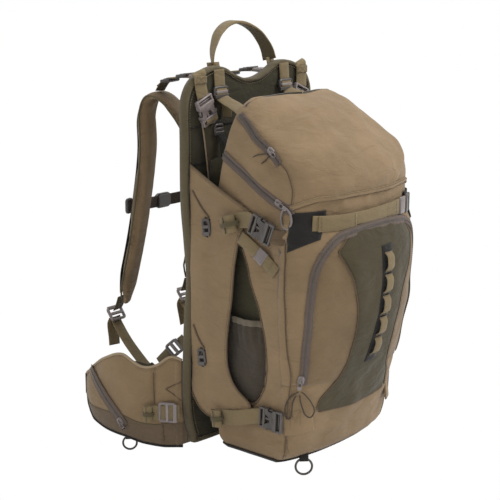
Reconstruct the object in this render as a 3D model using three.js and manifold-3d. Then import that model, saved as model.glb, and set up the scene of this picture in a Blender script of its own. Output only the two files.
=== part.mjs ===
// Hunting backpack: internal-frame hauler with a zipped lid, a front pocket, side wings and a hip belt.
// Millimetres, +Z up. The outer face looks along -Y, the wearer stands on the +Y side, X is left to right.
// The origin is the middle of the bag's flat base. Left pieces have negative X.
import * as THREE from 'three';
import { mergeVertices } from 'three/addons/utils/BufferGeometryUtils.js';
import Module from 'manifold-3d';

const wasm = await Module();
wasm.setup();

// ---- driving dimensions -------------------------------------------------------------------------
const GAP = 0.35;                 // clearance between pieces that touch
const WEBBING = 25;               // one-inch webbing
const NARROW_WEBBING = 20;        // sternum strap and load lifters
const WEBBING_THICK = 2.4;
const WALL = 4;                   // padded fabric wall
const FRAME_FRONT = 92;           // frame sheet, face towards the bag
const FRAME_BACK = 104;           // frame sheet, face towards the wearer
const FRAME_HALF = 152;           // half width of the frame sheet
const FRAME_TOP = 608;            // top of the two humps
const BAG_REAR = 59;              // rear of the bag, where its back panel starts
const POCKET_WALL = -96;          // plane between the main compartment and the front pocket
const POCKET_TOP = 384;           // shelf that closes the front pocket
const DOOR_HINGE = { y: -147, z: 142 };
const DOOR_EDGE = 6;              // the door stops this far in front of the pocket's rear wall
const REACH = 250;                // cutting blocks reach this far to either side, clear of the bag
const BEYOND_FRONT = -300;        // and this far in front of it
const BELOW = -50;                // and this far under it
const BUCKLE = { width: 36, socket: 30, plug: 13, thick: 9, tongue: 20 };

// Main bag and lid, one section per height: rear plane, half width, start of the rounded front, its depth.
const SECTIONS = [
  { z: 0, rear: 50, half: 116, side: 58, crown: 22 },
  { z: 14, rear: 56, half: 130, side: 80, crown: 28 },
  { z: 60, rear: 58, half: 133, side: 85, crown: 36 },
  { z: 108, rear: 58, half: 134, side: 88, crown: 45 },
  { z: 166, rear: 58, half: 140, side: 100, crown: 52 },
  { z: 243, rear: 58, half: 145, side: 107, crown: 66 },
  { z: 310, rear: 58, half: 145, side: 108, crown: 72 },
  { z: 360, rear: 57, half: 145, side: 107, crown: 68 },
  { z: 395, rear: 54, half: 143, side: 103, crown: 58 },
  { z: 430, rear: 46, half: 141, side: 101, crown: 56 },
  { z: 450, rear: 42, half: 139, side: 100, crown: 62 },
  { z: 480, rear: 36, half: 136, side: 97, crown: 50 },
  { z: 517, rear: 30, half: 132, side: 52, crown: 50 },
  { z: 543, rear: 26, half: 120, side: 0, crown: 78 },
  { z: 558, rear: 24, half: 110, side: -12, crown: 66 },
  { z: 567, rear: 18, half: 88, side: -12, crown: 34 },
];

// Edge where the lid meets the bag, seen from the side: along the zip, then level round the front.
const CORNER = 14;                // radius of the rear corners
const RIM_SLOPE = 0.5035;
const RIM_CORNER = { y: -106, z: 416 };
const RIM_BROW = { y: -137, z: 431 };
const RIM_FRONT = { y: -240, z: 433 };
const RIM_REAR = { y: 80, z: RIM_CORNER.z + RIM_SLOPE * (80 - RIM_CORNER.y) };

// ---- colours ------------------------------------------------------------------------------------
function finish(color, roughness, metalness = 0) {
  return new THREE.MeshStandardMaterial({ color, roughness, metalness });
}

const TAN = finish(0xa08a6e, 0.9);
const OLIVE = finish(0x5d5440, 0.9);
const KHAKI = finish(0x8f8560, 0.85);
const MAUVE = finish(0x85787a, 0.6);
const BLACK = finish(0x2a2a2a, 0.5);
const CHARCOAL = finish(0x3c3c3c, 0.9);
const METAL = finish(0xb8b8bc, 0.35, 1);

// ---- helpers ------------------------------------------------------------------------------------
const pack = new THREE.Group();

function place(name, geometry, material) {
  const mesh = new THREE.Mesh(geometry, material);
  mesh.name = name;
  pack.add(mesh);
  return mesh;
}

function toSolid(geometry) {
  const bare = geometry.clone();
  bare.deleteAttribute('normal');
  bare.deleteAttribute('uv');
  const merged = mergeVertices(bare);
  const triVerts = Uint32Array.from(merged.index.array);
  const vertProperties = Float32Array.from(merged.attributes.position.array);
  return new wasm.Manifold(new wasm.Mesh({ numProp: 3, vertProperties, triVerts }));
}

function toGeometry(solid) {
  const mesh = solid.getMesh();
  const geometry = new THREE.BufferGeometry();
  geometry.setAttribute('position', new THREE.BufferAttribute(Float32Array.from(mesh.vertProperties), 3));
  geometry.setIndex(new THREE.BufferAttribute(Uint32Array.from(mesh.triVerts), 1));
  geometry.computeVertexNormals();
  return geometry;
}

function boxBetween(low, high) {
  const geometry = new THREE.BoxGeometry(high[0] - low[0], high[1] - low[1], high[2] - low[2]);
  geometry.translate((low[0] + high[0]) / 2, (low[1] + high[1]) / 2, (low[2] + high[2]) / 2);
  return geometry;
}

// Closed solid through rings of points that all run the same way round.
function loft(rings) {
  const count = rings[0].length;
  const positions = rings.flat().flatMap((p) => [p.x, p.y, p.z]);
  const index = [];
  for (let r = 0; r + 1 < rings.length; r += 1) {
    for (let i = 0; i < count; i += 1) {
      const a = r * count + i;
      const b = r * count + ((i + 1) % count);
      index.push(a, b, b + count, a, b + count, a + count);
    }
  }
  const last = (rings.length - 1) * count;
  for (let i = 1; i + 1 < count; i += 1) {
    index.push(0, i + 1, i, last, last + i, last + i + 1);
  }
  const geometry = new THREE.BufferGeometry();
  geometry.setAttribute('position', new THREE.Float32BufferAttribute(positions, 3));
  geometry.setIndex(index);
  return facingOut(geometry);
}

function facingOut(geometry) {
  const position = geometry.attributes.position;
  const index = geometry.index.array;
  const corners = [new THREE.Vector3(), new THREE.Vector3(), new THREE.Vector3()];
  let volume = 0;
  for (let i = 0; i < index.length; i += 3) {
    corners.forEach((corner, k) => corner.fromBufferAttribute(position, index[i + k]));
    volume += corners[0].dot(corners[1].cross(corners[2]));
  }
  if (volume < 0) {
    for (let i = 0; i < index.length; i += 3) {
      const swap = index[i + 1];
      index[i + 1] = index[i + 2];
      index[i + 2] = swap;
    }
  }
  geometry.computeVertexNormals();
  return geometry;
}

// Flat outline in the YZ plane, extruded from x0 to x1.
function sidePlate(points, x0, x1) {
  const shape = new THREE.Shape(points.map(([y, z]) => new THREE.Vector2(y, z)));
  const geometry = new THREE.ExtrudeGeometry(shape, { depth: x1 - x0, bevelEnabled: false });
  const turn = new THREE.Matrix4().makeBasis(
    new THREE.Vector3(0, 1, 0), new THREE.Vector3(0, 0, 1), new THREE.Vector3(1, 0, 0));
  geometry.applyMatrix4(turn);
  geometry.translate(x0, 0, 0);
  return geometry;
}

// Flat outline in the XZ plane, extruded from y0 to y1.
function facePlate(points, y0, y1) {
  const shape = new THREE.Shape(points.map(([x, z]) => new THREE.Vector2(x, z)));
  const geometry = new THREE.ExtrudeGeometry(shape, { depth: y1 - y0, bevelEnabled: false });
  geometry.rotateX(Math.PI / 2);
  geometry.translate(0, y1, 0);
  return geometry;
}

// Strap with a flat section along a smooth route; across is the direction of its width.
function strap(route, width, thick, across, steps = 12) {
  const curve = new THREE.CatmullRomCurve3(route.map((p) => new THREE.Vector3(...p)));
  const rings = [];
  for (let i = 0; i <= steps; i += 1) {
    const centre = curve.getPointAt(i / steps);
    const along = curve.getTangentAt(i / steps);
    const side = new THREE.Vector3(...across);
    side.addScaledVector(along, -side.dot(along)).normalize().multiplyScalar(width / 2);
    const up = new THREE.Vector3().crossVectors(along, side).normalize().multiplyScalar(thick / 2);
    rings.push([
      centre.clone().add(side).add(up),
      centre.clone().sub(side).add(up),
      centre.clone().sub(side).sub(up),
      centre.clone().add(side).sub(up),
    ]);
  }
  return loft(rings);
}

function cordTube(route, diameter, steps) {
  const curve = new THREE.CatmullRomCurve3(route.map((p) => new THREE.Vector3(...p)));
  const section = new THREE.Shape();
  section.absarc(0, 0, diameter / 2, 0, Math.PI * 2);
  return new THREE.ExtrudeGeometry(section, { steps, extrudePath: curve, curveSegments: 4 });
}

// Puts a piece made along its own X, Y, Z at a place, with its length turned to the direction given.
function aim(geometry, centre, length, face) {
  const along = new THREE.Vector3(...length).normalize();
  const out = new THREE.Vector3(...face);
  out.addScaledVector(along, -out.dot(along)).normalize();
  const wide = new THREE.Vector3().crossVectors(along, out);
  const turn = new THREE.Matrix4().makeBasis(wide, along, out);
  turn.setPosition(...centre);
  return geometry.clone().applyMatrix4(turn);
}

const mirrored = (point) => [-point[0], point[1], point[2]];
const onSide = (side, point) => (side === 'left' ? point : mirrored(point));

function eachSide(build) {
  build('left', -1);
  build('right', 1);
}

// ---- bag and lid --------------------------------------------------------------------------------
// One level outline of the bag: straight rear and sides, rounded rear corners and a half-ellipse front.
function bagRing(section, inset) {
  const half = section.half - inset;
  const rear = section.rear - inset;
  const corner = CORNER;
  const crown = section.crown - inset;
  const points = [];
  for (let i = 0; i <= 2; i += 1) {
    const angle = (i / 2) * (Math.PI / 2);
    const x = half - corner + corner * Math.cos(angle);
    points.push(new THREE.Vector3(x, rear - corner + corner * Math.sin(angle), section.z));
  }
  for (let i = 2; i >= 0; i -= 1) {
    const angle = (i / 2) * (Math.PI / 2);
    const x = half - corner + corner * Math.cos(angle);
    points.push(new THREE.Vector3(-x, rear - corner + corner * Math.sin(angle), section.z));
  }
  for (let i = 0; i <= 12; i += 1) {
    const angle = (i / 12) * Math.PI;
    const y = -section.side - crown * Math.sin(angle);
    points.push(new THREE.Vector3(-half * Math.cos(angle), y, section.z));
  }
  return points;
}

function bagLoft(inset) {
  const rings = SECTIONS.map((section) => bagRing(section, inset));
  if (inset > 0) {
    rings[0].forEach((point) => { point.z += inset; });
    rings[rings.length - 1].forEach((point) => { point.z -= inset; });
  }
  return toSolid(loft(rings));
}

// Everything above (or below) the edge where lid and bag meet, kept clear of it by half the seam.
function rimCutter(above, clear) {
  const far = above ? 900 : -100;
  const shift = above ? clear : -clear;
  const edge = [RIM_REAR, RIM_CORNER, RIM_BROW, RIM_FRONT].map(({ y, z }) => [y, z + shift]);
  return toSolid(sidePlate([...edge, [RIM_FRONT.y, far], [RIM_REAR.y, far]], -REACH, REACH));
}

const OUTER = bagLoft(0);
const INNER = bagLoft(WALL);

// Hollow in each side of the bag behind the wing, where the mesh pocket sits.
const RECESS = { x: 129, front: -50, rear: 120, low: 99, high: 330 };
const RECESS_LINER_REAR = 52;     // rear edge of the cloth behind and around the hollow
const RECESS_DEPTH = 13;          // depth of that cloth's edge, out to the bag's side

function frontBlock(wallY, top) {
  return toSolid(boxBetween([-REACH, BEYOND_FRONT, BELOW], [REACH, wallY, top]));
}

// Block on one side of the bag; x is measured outwards from the bag's middle plane.
function sideBlock(side, xIn, xOut, low, high) {
  const xs = [side * xIn, side * xOut].sort((a, b) => a - b);
  return toSolid(boxBetween([xs[0], ...low], [xs[1], ...high]));
}

function mainBag() {
  const pocketSpace = frontBlock(POCKET_WALL, POCKET_TOP);
  const compartment = INNER.subtract(frontBlock(POCKET_WALL + WALL, POCKET_TOP + WALL));
  let bag = OUTER.intersect(rimCutter(false, GAP)).subtract(pocketSpace).subtract(compartment);
  const linerLow = [RECESS.front - WALL, RECESS.low - WALL];
  const linerHigh = [RECESS_LINER_REAR, RECESS.high + WALL];
  for (const side of [-1, 1]) {
    const inside = RECESS.x - WALL;
    const cut = sideBlock(
      side, RECESS.x, REACH, [RECESS.front, RECESS.low], [RECESS.rear, RECESS.high]);
    const liner = sideBlock(side, inside, RECESS.x, linerLow, linerHigh);
    const edge = sideBlock(side, inside, RECESS.x + RECESS_DEPTH, linerLow, linerHigh);
    bag = bag.add(edge.intersect(OUTER)).add(liner).subtract(cut);
  }
  return toGeometry(bag);
}

function lidShell() {
  const hood = OUTER.subtract(INNER);
  return toGeometry(hood.intersect(rimCutter(true, GAP)));
}

// Outline of the zipped door in the front pocket: upright sides that lean out, then an arch.
function doorOutline(grow) {
  const right = [
    [122 + grow, DOOR_HINGE.z - grow], [128 + grow, 200], [131 + grow, 255], [129 + grow, 298],
  ];
  const shoulder = { x: 70, z: 298, wide: 59 + grow, high: 78 + grow };
  const arch = [];
  for (let i = 1; i <= 5; i += 1) {
    const angle = (i / 5) * (Math.PI / 2);
    const x = shoulder.x + shoulder.wide * Math.cos(angle);
    arch.push([x, shoulder.z + shoulder.high * Math.sin(angle)]);
  }
  const half = [...right, ...arch];
  const mirror = half.map(([x, z]) => [-x, z]).reverse();
  return [...half, ...mirror];
}

function pocketShell() {
  return OUTER.subtract(INNER).intersect(frontBlock(POCKET_WALL - GAP, POCKET_TOP - GAP));
}

function doorCutter(grow) {
  return toSolid(facePlate(doorOutline(grow), BEYOND_FRONT, POCKET_WALL - DOOR_EDGE));
}

function pocketRim() {
  return toGeometry(pocketShell().subtract(doorCutter(GAP)));
}

function pocketDoor() {
  return toGeometry(pocketShell().intersect(doorCutter(-GAP)));
}

// Depth of the bag's front at a height, from the sections.
function crownAt(z) {
  const above = SECTIONS.findIndex((section) => section.z >= z);
  const high = SECTIONS[above];
  const low = SECTIONS[above - 1];
  const share = (z - low.z) / (high.z - low.z);
  return -(low.side + low.crown) * (1 - share) - (high.side + high.crown) * share;
}

// Row of webbing loops down the middle of the door.
const DAISY = { low: 166, high: 342, pitch: 44, lift: 3.2, thick: 3 };

function daisyChain() {
  const route = [];
  for (let z = DAISY.low; z <= DAISY.high; z += DAISY.pitch) {
    route.push([0, crownAt(z) - DAISY.lift, z]);
  }
  return strap(route, WEBBING, DAISY.thick, [1, 0, 0], 10);
}

// Webbing across the front, level, on an ellipse just outside the bag.
const FRONT_STRAP = { z: 396, half: 148, side: -103, crown: 64.8 };

function frontStrap() {
  const route = [];
  for (let i = -5; i <= 5; i += 1) {
    const angle = (i / 6) * (Math.PI / 2);
    const y = FRONT_STRAP.side - FRONT_STRAP.crown * Math.cos(angle);
    route.push([FRONT_STRAP.half * Math.sin(angle), y, FRONT_STRAP.z]);
  }
  return strap(route, WEBBING, WEBBING_THICK, [0, 0, 1], 14);
}

// ---- frame and back -----------------------------------------------------------------------------
function frameSheet() {
  const right = [
    [118, 2], [140, 14], [FRAME_HALF, 75], [148, 193], [141, 274], [146, 341], [FRAME_HALF, 407],
    [FRAME_HALF, 549], [147, 572], [134, 590], [112, 602], [90, FRAME_TOP], [66, 606], [42, 594],
    [20, 586],
  ];
  const left = right.map(([x, z]) => [-x, z]).reverse();
  return facePlate([...right, [0, 584], ...left], FRAME_FRONT, FRAME_BACK);
}

const PAD_FRONT = FRAME_BACK + 4; // pads stand clear of the stays on the frame sheet
const BACK_PAD_THICK = 16;
const BACK_CHANNEL = { half: 16, y: FRAME_BACK + 12 };
const STAY = { x: 45, half: 10, thick: 3.05, low: 30, high: 570 };

function backPad() {
  const right = [[104, 165], [108, 300], [104, 470], [84, 556]];
  const left = right.map(([x, z]) => [-x, z]).reverse();
  const pad = toSolid(facePlate([...right, ...left], PAD_FRONT, PAD_FRONT + BACK_PAD_THICK));
  const { half, y } = BACK_CHANNEL;
  const channel = toSolid(boxBetween([-half, y, 0], [half, y + BACK_PAD_THICK, FRAME_TOP]));
  return toGeometry(pad.subtract(channel));
}

// Level sections of the lumbar pad: height, half width and depth behind the frame.
const LUMBAR_SECTIONS = [
  { z: 10, half: 92, deep: 18 }, { z: 30, half: 104, deep: 34 }, { z: 80, half: 106, deep: 40 },
  { z: 130, half: 100, deep: 34 }, { z: 155, half: 90, deep: 18 },
];

function lumbarPad() {
  return loft(LUMBAR_SECTIONS.map(({ z, half, deep }) => {
    const rear = FRAME_BACK + deep;
    const outline = [
      [-half, PAD_FRONT], [half, PAD_FRONT], [half - 8, rear - 6], [half - 30, rear],
      [-half + 30, rear], [-half + 8, rear - 6],
    ];
    return outline.map(([x, y]) => new THREE.Vector3(x, y, z));
  }));
}

// ---- side wings and mesh pockets ----------------------------------------------------------------
const WING_OUTLINE = [
  [FRAME_FRONT - 1, 464], [-36, 404], [-44, 384], [-22, 368], [-7, 341], [3, 275], [12, 209],
  [2, 150], [-26, 92], [-20, 64], [46, 58], [FRAME_FRONT - 1, 92],
];

const MESH = { wall: 2, backing: 1.5, rear: 44, top: 228 };

function meshPocket(side) {
  const low = [RECESS.x + 0.6, RECESS.front + 2, RECESS.low + 1];
  const high = [RECESS.x + RECESS_DEPTH, MESH.rear, MESH.top];
  const shell = toSolid(boxBetween(low, high));
  const hollowLow = [low[0] - MESH.wall, low[1] + MESH.wall, low[2] + MESH.wall];
  const hollowHigh = [high[0] - MESH.wall, high[1] - MESH.wall, high[2] + MESH.wall];
  const hollow = toSolid(boxBetween(hollowLow, hollowHigh));
  const backing = toSolid(boxBetween(low, [low[0] + MESH.backing, high[1], high[2]]));
  const tray = toGeometry(shell.subtract(hollow).add(backing));
  if (side < 0) {
    return toGeometry(toSolid(tray).mirror([1, 0, 0]));
  }
  return tray;
}

// ---- hardware -----------------------------------------------------------------------------------
// Side-release buckle. Its own +Y is the way the plug pulls out; the mouth of the socket is at Y = 0.
function buckleSocket() {
  const half = BUCKLE.width / 2;
  const thick = BUCKLE.thick / 2;
  const body = toSolid(boxBetween([-half, -BUCKLE.socket, -thick], [half, 0, thick]));
  const mouth = toSolid(boxBetween([-half + 4, -BUCKLE.tongue - 2, -2.8], [half - 4, 2, 2.8]));
  return toGeometry(body.subtract(mouth));
}

function bucklePlug() {
  const half = BUCKLE.width / 2;
  const base = toSolid(boxBetween([-half + 1, 0.6, -4], [half - 1, BUCKLE.plug, 4]));
  const tongue = toSolid(boxBetween([-half + 5, -BUCKLE.tongue, -2.2], [half - 5, 1, 2.2]));
  const slot = toSolid(boxBetween([-13, 6, -6], [13, 9, 6]));
  return toGeometry(base.add(tongue).subtract(slot));
}

// Ladder lock: a plate with two slots that grips webbing.
function ladderLock(width, length) {
  const plate = toSolid(boxBetween([-width / 2, -length / 2, -3], [width / 2, length / 2, 3]));
  const slotAt = (y) => toSolid(boxBetween([-width / 2 + 4, y - 2, -5], [width / 2 - 4, y + 2, 5]));
  return toGeometry(plate.subtract(slotAt(-length / 5)).subtract(slotAt(length / 5)));
}

// Zip slider: its own +Y runs along the zip, its base is at Z = 0. A tab of the given length hangs at -Y.
function zipSlider(tabLength) {
  const body = toSolid(boxBetween([-4.5, -6, 0], [4.5, 6, 4]));
  const tab = toSolid(boxBetween([-3, -5 - tabLength, 2], [3, -4, 4]));
  return toGeometry(body.add(tab));
}

const SIDE_FACE = 149;            // outer face of the wings
const WING_THICK = 2.4;
const HARDWARE = {
  top: { centre: [-110.5, 85, 537], pull: [0.379, 0, -0.926], face: [0, -1, 0] },
  upper: { centre: [-156, -55, 386], pull: [0, 0.93, 0.36], face: [-1, 0, 0] },
  lower: { centre: [-141, -62, 80], pull: [0, 1, 0.05], face: [-1, 0, 0] },
};

function sideReleaseBuckles(side) {
  for (const [where, at] of Object.entries(HARDWARE)) {
    const centre = onSide(side, at.centre);
    const pull = onSide(side, at.pull);
    const face = onSide(side, at.face);
    const colour = where === 'top' ? MAUVE : BLACK;
    place(`${side}_${where}_buckle_socket`, aim(buckleSocket(), centre, pull, face), colour);
    place(`${side}_${where}_buckle_plug`, aim(bucklePlug(), centre, pull, face), colour);
  }
}

// ---- harness ------------------------------------------------------------------------------------
const SHOULDER = { width: 62, thick: 16 };
const SHOULDER_ROUTE = [
  [-58, 144, 446], [-64, 172, 504], [-72, 204, 546], [-78, 235, 557], [-82, 250, 530], [-84, 248, 461],
  [-86, 261, 373], [-86, 278, 301], [-86, 300, 226], [-86, 311, 186],
];
const LOWER_WEBBING_ROUTE = [
  [-88, 326, 150], [-93, 290, 116], [-102, 226, 80], [-112, 160, 62], [-118, 122, 56],
];
const LIFTER_ROUTE = [[-80, 107, 588], [-78, 150, 590], [-76, 186, 587]];

// Hip belt wing: plan position, low edge, high edge and thickness at each station from frame to tip.
const BELT_STATIONS = [
  { x: -150, y: 110, low: 4, high: 138, thick: 14 },
  { x: -171, y: 145, low: 0, high: 128, thick: 20 },
  { x: -183, y: 190, low: -2, high: 112, thick: 26 },
  { x: -185, y: 235, low: -1, high: 104, thick: 28 },
  { x: -176, y: 285, low: 4, high: 98, thick: 26 },
  { x: -159, y: 322, low: 18, high: 86, thick: 20 },
  { x: -147, y: 342, low: 34, high: 72, thick: 12 },
];

function hipBelt(side) {
  const route = new THREE.CatmullRomCurve3(BELT_STATIONS.map((s) => new THREE.Vector3(s.x, s.y, 0)));
  const rings = [];
  const last = BELT_STATIONS.length - 1;
  for (let i = 0; i <= 2 * last; i += 1) {
    const station = i / 2;
    const near = BELT_STATIONS[Math.floor(station)];
    const next = BELT_STATIONS[Math.min(last, Math.floor(station) + 1)];
    const share = station - Math.floor(station);
    const mix = (key) => near[key] * (1 - share) + next[key] * share;
    const centre = route.getPoint(i / (2 * last));
    const along = route.getTangent(i / (2 * last));
    const out = new THREE.Vector3(-along.y, along.x, 0).normalize();
    const bevel = Math.min(8, mix('thick') / 3);
    const half = mix('thick') / 2;
    const section = [
      [half, mix('low') + bevel], [half, mix('high') - bevel], [half - bevel, mix('high')],
      [-half + bevel, mix('high')], [-half, mix('high') - bevel], [-half, mix('low') + bevel],
      [-half + bevel, mix('low')], [half - bevel, mix('low')],
    ];
    rings.push(section.map(([u, z]) => new THREE.Vector3(
      side * -(centre.x + out.x * u), centre.y + out.y * u, z)));
  }
  return loft(rings);
}

const RING = { radius: 11.5, wire: 1.7 };

function carryRing() {
  return new THREE.TorusGeometry(RING.radius, RING.wire, 6, 18);
}

const HANDLE_THICK = 2.6;

function haulHandle() {
  const route = [
    [-70, 112, 616], [-64, 116, 636], [-48, 122, 658], [-24, 127, 672], [0, 128, 677],
    [24, 127, 672], [48, 122, 658], [64, 116, 636], [70, 112, 616],
  ];
  return strap(route, WEBBING, HANDLE_THICK, [0, 1, 0], 20);
}

function sternumStrap() {
  const route = [[-100, 280, 366], [0, 297, 360], [100, 280, 366]];
  const webbing = toSolid(strap(route, NARROW_WEBBING, WEBBING_THICK, [0, 0, 1], 10));
  const buckle = toSolid(boxBetween([-20, 291, 346], [20, 302, 374]));
  return toGeometry(webbing.add(buckle));
}

// ---- zips' sliders and their cord pulls ---------------------------------------------------------
const LID_ZIP = { centre: [-135.4, -66, 499], along: [0, 0.796, 0.605], face: [-1, 0, 0.1], tab: 1 };
const MAIN_ZIP = { centre: [-143.4, -88, 424.5], along: [0, 0.8932, 0.4497], face: [-1, 0, 0], tab: 16 };
const POCKET_ZIP = {
  centre: [-127.5, -120, 152], along: [-0.05, -0.21, 0.977], face: [-0.9, -0.43, 0], tab: 13,
};
const LID_PULL_THICK = 2.2;
const POCKET_PULL_THICK = 2.4;

const LID_PULL_ROUTE = [
  [-139, -61.5, 494.8], [-139, -50, 493], [-138.6, -36, 489], [-138.6, -28, 481], [-138.8, -33, 473],
  [-138.8, -45, 476], [-138.8, -56, 484], [-139, -64.4, 491.6],
];
const POCKET_PULL_ROUTES = {
  left: [
    [-130.6, -116.8, 132.4], [-134.8, -107, 124], [-137.2, -99, 112], [-136.8, -96, 98], [-135.2, -98, 86],
    [-132.2, -103.5, 88], [-132, -105.5, 101], [-132, -107.5, 114], [-131, -112.5, 125],
  ],
  right: [
    [-127.4, -121, 132.4], [-122, -123.5, 127], [-113.5, -125.5, 117], [-106, -126.5, 106],
    [-102, -126, 95], [-106, -122.5, 86], [-113, -117.5, 90], [-118.5, -116, 102], [-123.2, -115.8, 114],
    [-126.4, -116.4, 125.2],
  ],
};

// ---- assembly -----------------------------------------------------------------------------------
place('main_bag', mainBag(), TAN);
place('lid', lidShell(), TAN);
place('pocket_rim', pocketRim(), TAN);
place('pocket_door', pocketDoor(), OLIVE);
place('daisy_chain', daisyChain(), BLACK);
place('front_strap', frontStrap(), KHAKI);
place('frame_sheet', frameSheet(), OLIVE);
place('back_pad', backPad(), OLIVE);
place('lumbar_pad', lumbarPad(), OLIVE);
place('bag_back_panel', boxBetween([-112, BAG_REAR, 24], [112, FRAME_FRONT - GAP, 470]), OLIVE);
place('haul_handle', haulHandle(), KHAKI);
place('sternum_strap', sternumStrap(), OLIVE);
place('base_ring', aim(carryRing(), [-84, -92, -8], [0, 0, 1], [-0.707, -0.707, 0]), BLACK);

function slider(name, spot) {
  const at = (vector) => onSide(name, vector);
  return aim(zipSlider(spot.tab), at(spot.centre), at(spot.along), at(spot.face));
}

// Widths and places of the ladder locks on each side; x counts outwards from the middle plane.
function ladderLocks(name, side) {
  const lidLock = aim(ladderLock(34, 18), [side * 80, 86, 572], [0, 0, 1], [0, -1, 0]);
  place(`${name}_lid_ladder_lock`, lidLock, BLACK);
  const adjuster = aim(ladderLock(34, 26), [side * 88, 330, 166], [0, -0.6, -0.8], [0, -0.8, 0.6]);
  place(`${name}_strap_adjuster`, adjuster, MAUVE);
  const lifterLock = aim(ladderLock(30, 22), [side * 75, 203, 582], [0, 1, -0.2], [0, 0.2, 1]);
  place(`${name}_lifter_buckle`, lifterLock, BLACK);
  const beltFace = [side * 0.86, -0.51, 0];
  const beltLock = aim(ladderLock(34, 30), [side * 173.1, 122.3, 54], [side * 0.51, 0.86, 0], beltFace);
  place(`${name}_belt_ladder_lock`, beltLock, MAUVE);
}

function harness(name, side) {
  const across = side < 0 ? [0.94, 0.34, 0] : [-0.94, 0.34, 0];
  const route = (points) => points.map((point) => onSide(name, point));
  const shoulder = strap(route(SHOULDER_ROUTE), SHOULDER.width, SHOULDER.thick, across, 22);
  place(`${name}_shoulder_strap`, shoulder, TAN);
  const lower = strap(route(LOWER_WEBBING_ROUTE), WEBBING, WEBBING_THICK, [1, 0.2, 0], 10);
  place(`${name}_lower_webbing`, lower, KHAKI);
  const lifter = strap(route(LIFTER_ROUTE), NARROW_WEBBING, WEBBING_THICK, [1, 0, 0], 4);
  place(`${name}_load_lifter`, lifter, KHAKI);
  place(`${name}_hip_belt`, hipBelt(side), TAN);
  const ring = aim(carryRing(), [side * 182, 203, -16], [0, 0, 1], [side, -1, 0]);
  place(`${name}_belt_ring`, ring, BLACK);
  const clasp = boxBetween([side * 122 - 14, 334, 38], [side * 122 + 14, 344, 68]);
  place(`${name}_waist_buckle`, clasp, BLACK);
}

eachSide((name, side) => {
  const middle = side * STAY.x;
  const stayFront = FRAME_BACK + GAP;
  const stay = boxBetween(
    [middle - STAY.half, stayFront, STAY.low],
    [middle + STAY.half, stayFront + STAY.thick, STAY.high]);
  place(`${name}_stay`, stay, METAL);
  const wing = side < 0 ? [-SIDE_FACE, -SIDE_FACE + WING_THICK] : [SIDE_FACE - WING_THICK, SIDE_FACE];
  place(`${name}_wing`, sidePlate(WING_OUTLINE, ...wing), TAN);
  place(`${name}_mesh_pocket`, meshPocket(side), CHARCOAL);
  sideReleaseBuckles(name);
  ladderLocks(name, side);
  harness(name, side);
  place(`${name}_lid_zip_slider`, slider(name, LID_ZIP), MAUVE);
  place(`${name}_main_zip_slider`, slider(name, MAIN_ZIP), MAUVE);
});

place('pocket_zip_slider', slider('left', POCKET_ZIP), MAUVE);
place('lid_zip_pull', cordTube(LID_PULL_ROUTE, LID_PULL_THICK, 20), TAN);
for (const [which, route] of Object.entries(POCKET_PULL_ROUTES)) {
  place(`pocket_zip_pull_${which}`, cordTube(route, POCKET_PULL_THICK, 24), TAN);
}

export default pack;
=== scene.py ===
# Hunting backpack, looks: fabric skins, zips, webbing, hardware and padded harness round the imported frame.
# Lengths in this script are millimetres until a mesh is made; the scene is in metres, +Z up, -Y outer face.
import math

import bmesh
import bpy
import numpy as np
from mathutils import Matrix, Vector, noise


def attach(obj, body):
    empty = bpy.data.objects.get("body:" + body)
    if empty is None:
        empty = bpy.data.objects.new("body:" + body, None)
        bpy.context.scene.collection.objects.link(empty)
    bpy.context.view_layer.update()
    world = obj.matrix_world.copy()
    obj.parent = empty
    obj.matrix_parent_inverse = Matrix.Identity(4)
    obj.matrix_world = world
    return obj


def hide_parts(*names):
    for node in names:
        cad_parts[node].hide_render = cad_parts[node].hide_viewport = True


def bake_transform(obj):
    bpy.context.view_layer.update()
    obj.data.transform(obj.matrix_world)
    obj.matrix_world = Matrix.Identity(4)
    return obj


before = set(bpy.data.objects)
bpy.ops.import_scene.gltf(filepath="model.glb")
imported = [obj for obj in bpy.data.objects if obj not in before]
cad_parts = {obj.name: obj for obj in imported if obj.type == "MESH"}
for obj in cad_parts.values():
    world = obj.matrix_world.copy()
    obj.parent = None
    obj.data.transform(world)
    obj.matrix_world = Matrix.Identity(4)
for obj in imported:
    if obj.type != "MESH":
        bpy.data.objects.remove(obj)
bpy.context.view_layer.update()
MM = 0.001
PI = math.pi
SIDES = ((-1, "left"), (1, "right"))
VIEW_AZIMUTH = math.radians(-49)
VIEW_ELEVATION = math.radians(13)
LENS = 95.2
CAMERA_PLACE = (-1.627, -1.320, 0.798)
STUDIO_FLOOR = -0.031


# ---- camera -------------------------------------------------------------------------------------
def make_camera():
    level_share = math.cos(VIEW_ELEVATION)
    back = Vector((math.sin(VIEW_AZIMUTH) * level_share, -math.cos(VIEW_AZIMUTH) * level_share,
                   math.sin(VIEW_ELEVATION)))
    data = bpy.data.cameras.new("camera")
    data.sensor_width = 36
    data.lens = LENS
    camera = bpy.data.objects.new("camera", data)
    camera.location = CAMERA_PLACE
    camera.rotation_euler = back.to_track_quat("Z", "Y").to_euler()
    bpy.context.scene.collection.objects.link(camera)
    bpy.context.scene.camera = camera


make_camera()


# ---- materials ----------------------------------------------------------------------------------
def shader(name, roughness, sheen=0.0, metallic=0.0, specular=0.5):
    material = bpy.data.materials.new(name)
    material.use_nodes = True
    tree = material.node_tree
    base = tree.nodes["Principled BSDF"]
    base.inputs["Roughness"].default_value = roughness
    base.inputs["Metallic"].default_value = metallic
    base.inputs["Sheen Weight"].default_value = sheen
    base.inputs["Sheen Roughness"].default_value = 0.5
    base.inputs["Specular IOR Level"].default_value = specular
    return material, tree, base


def node(tree, kind, **values):
    made = tree.nodes.new(kind)
    for key, value in values.items():
        if hasattr(made, key):
            setattr(made, key, value)
        else:
            made.inputs[key.replace("_", " ")].default_value = value
    return made


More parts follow.
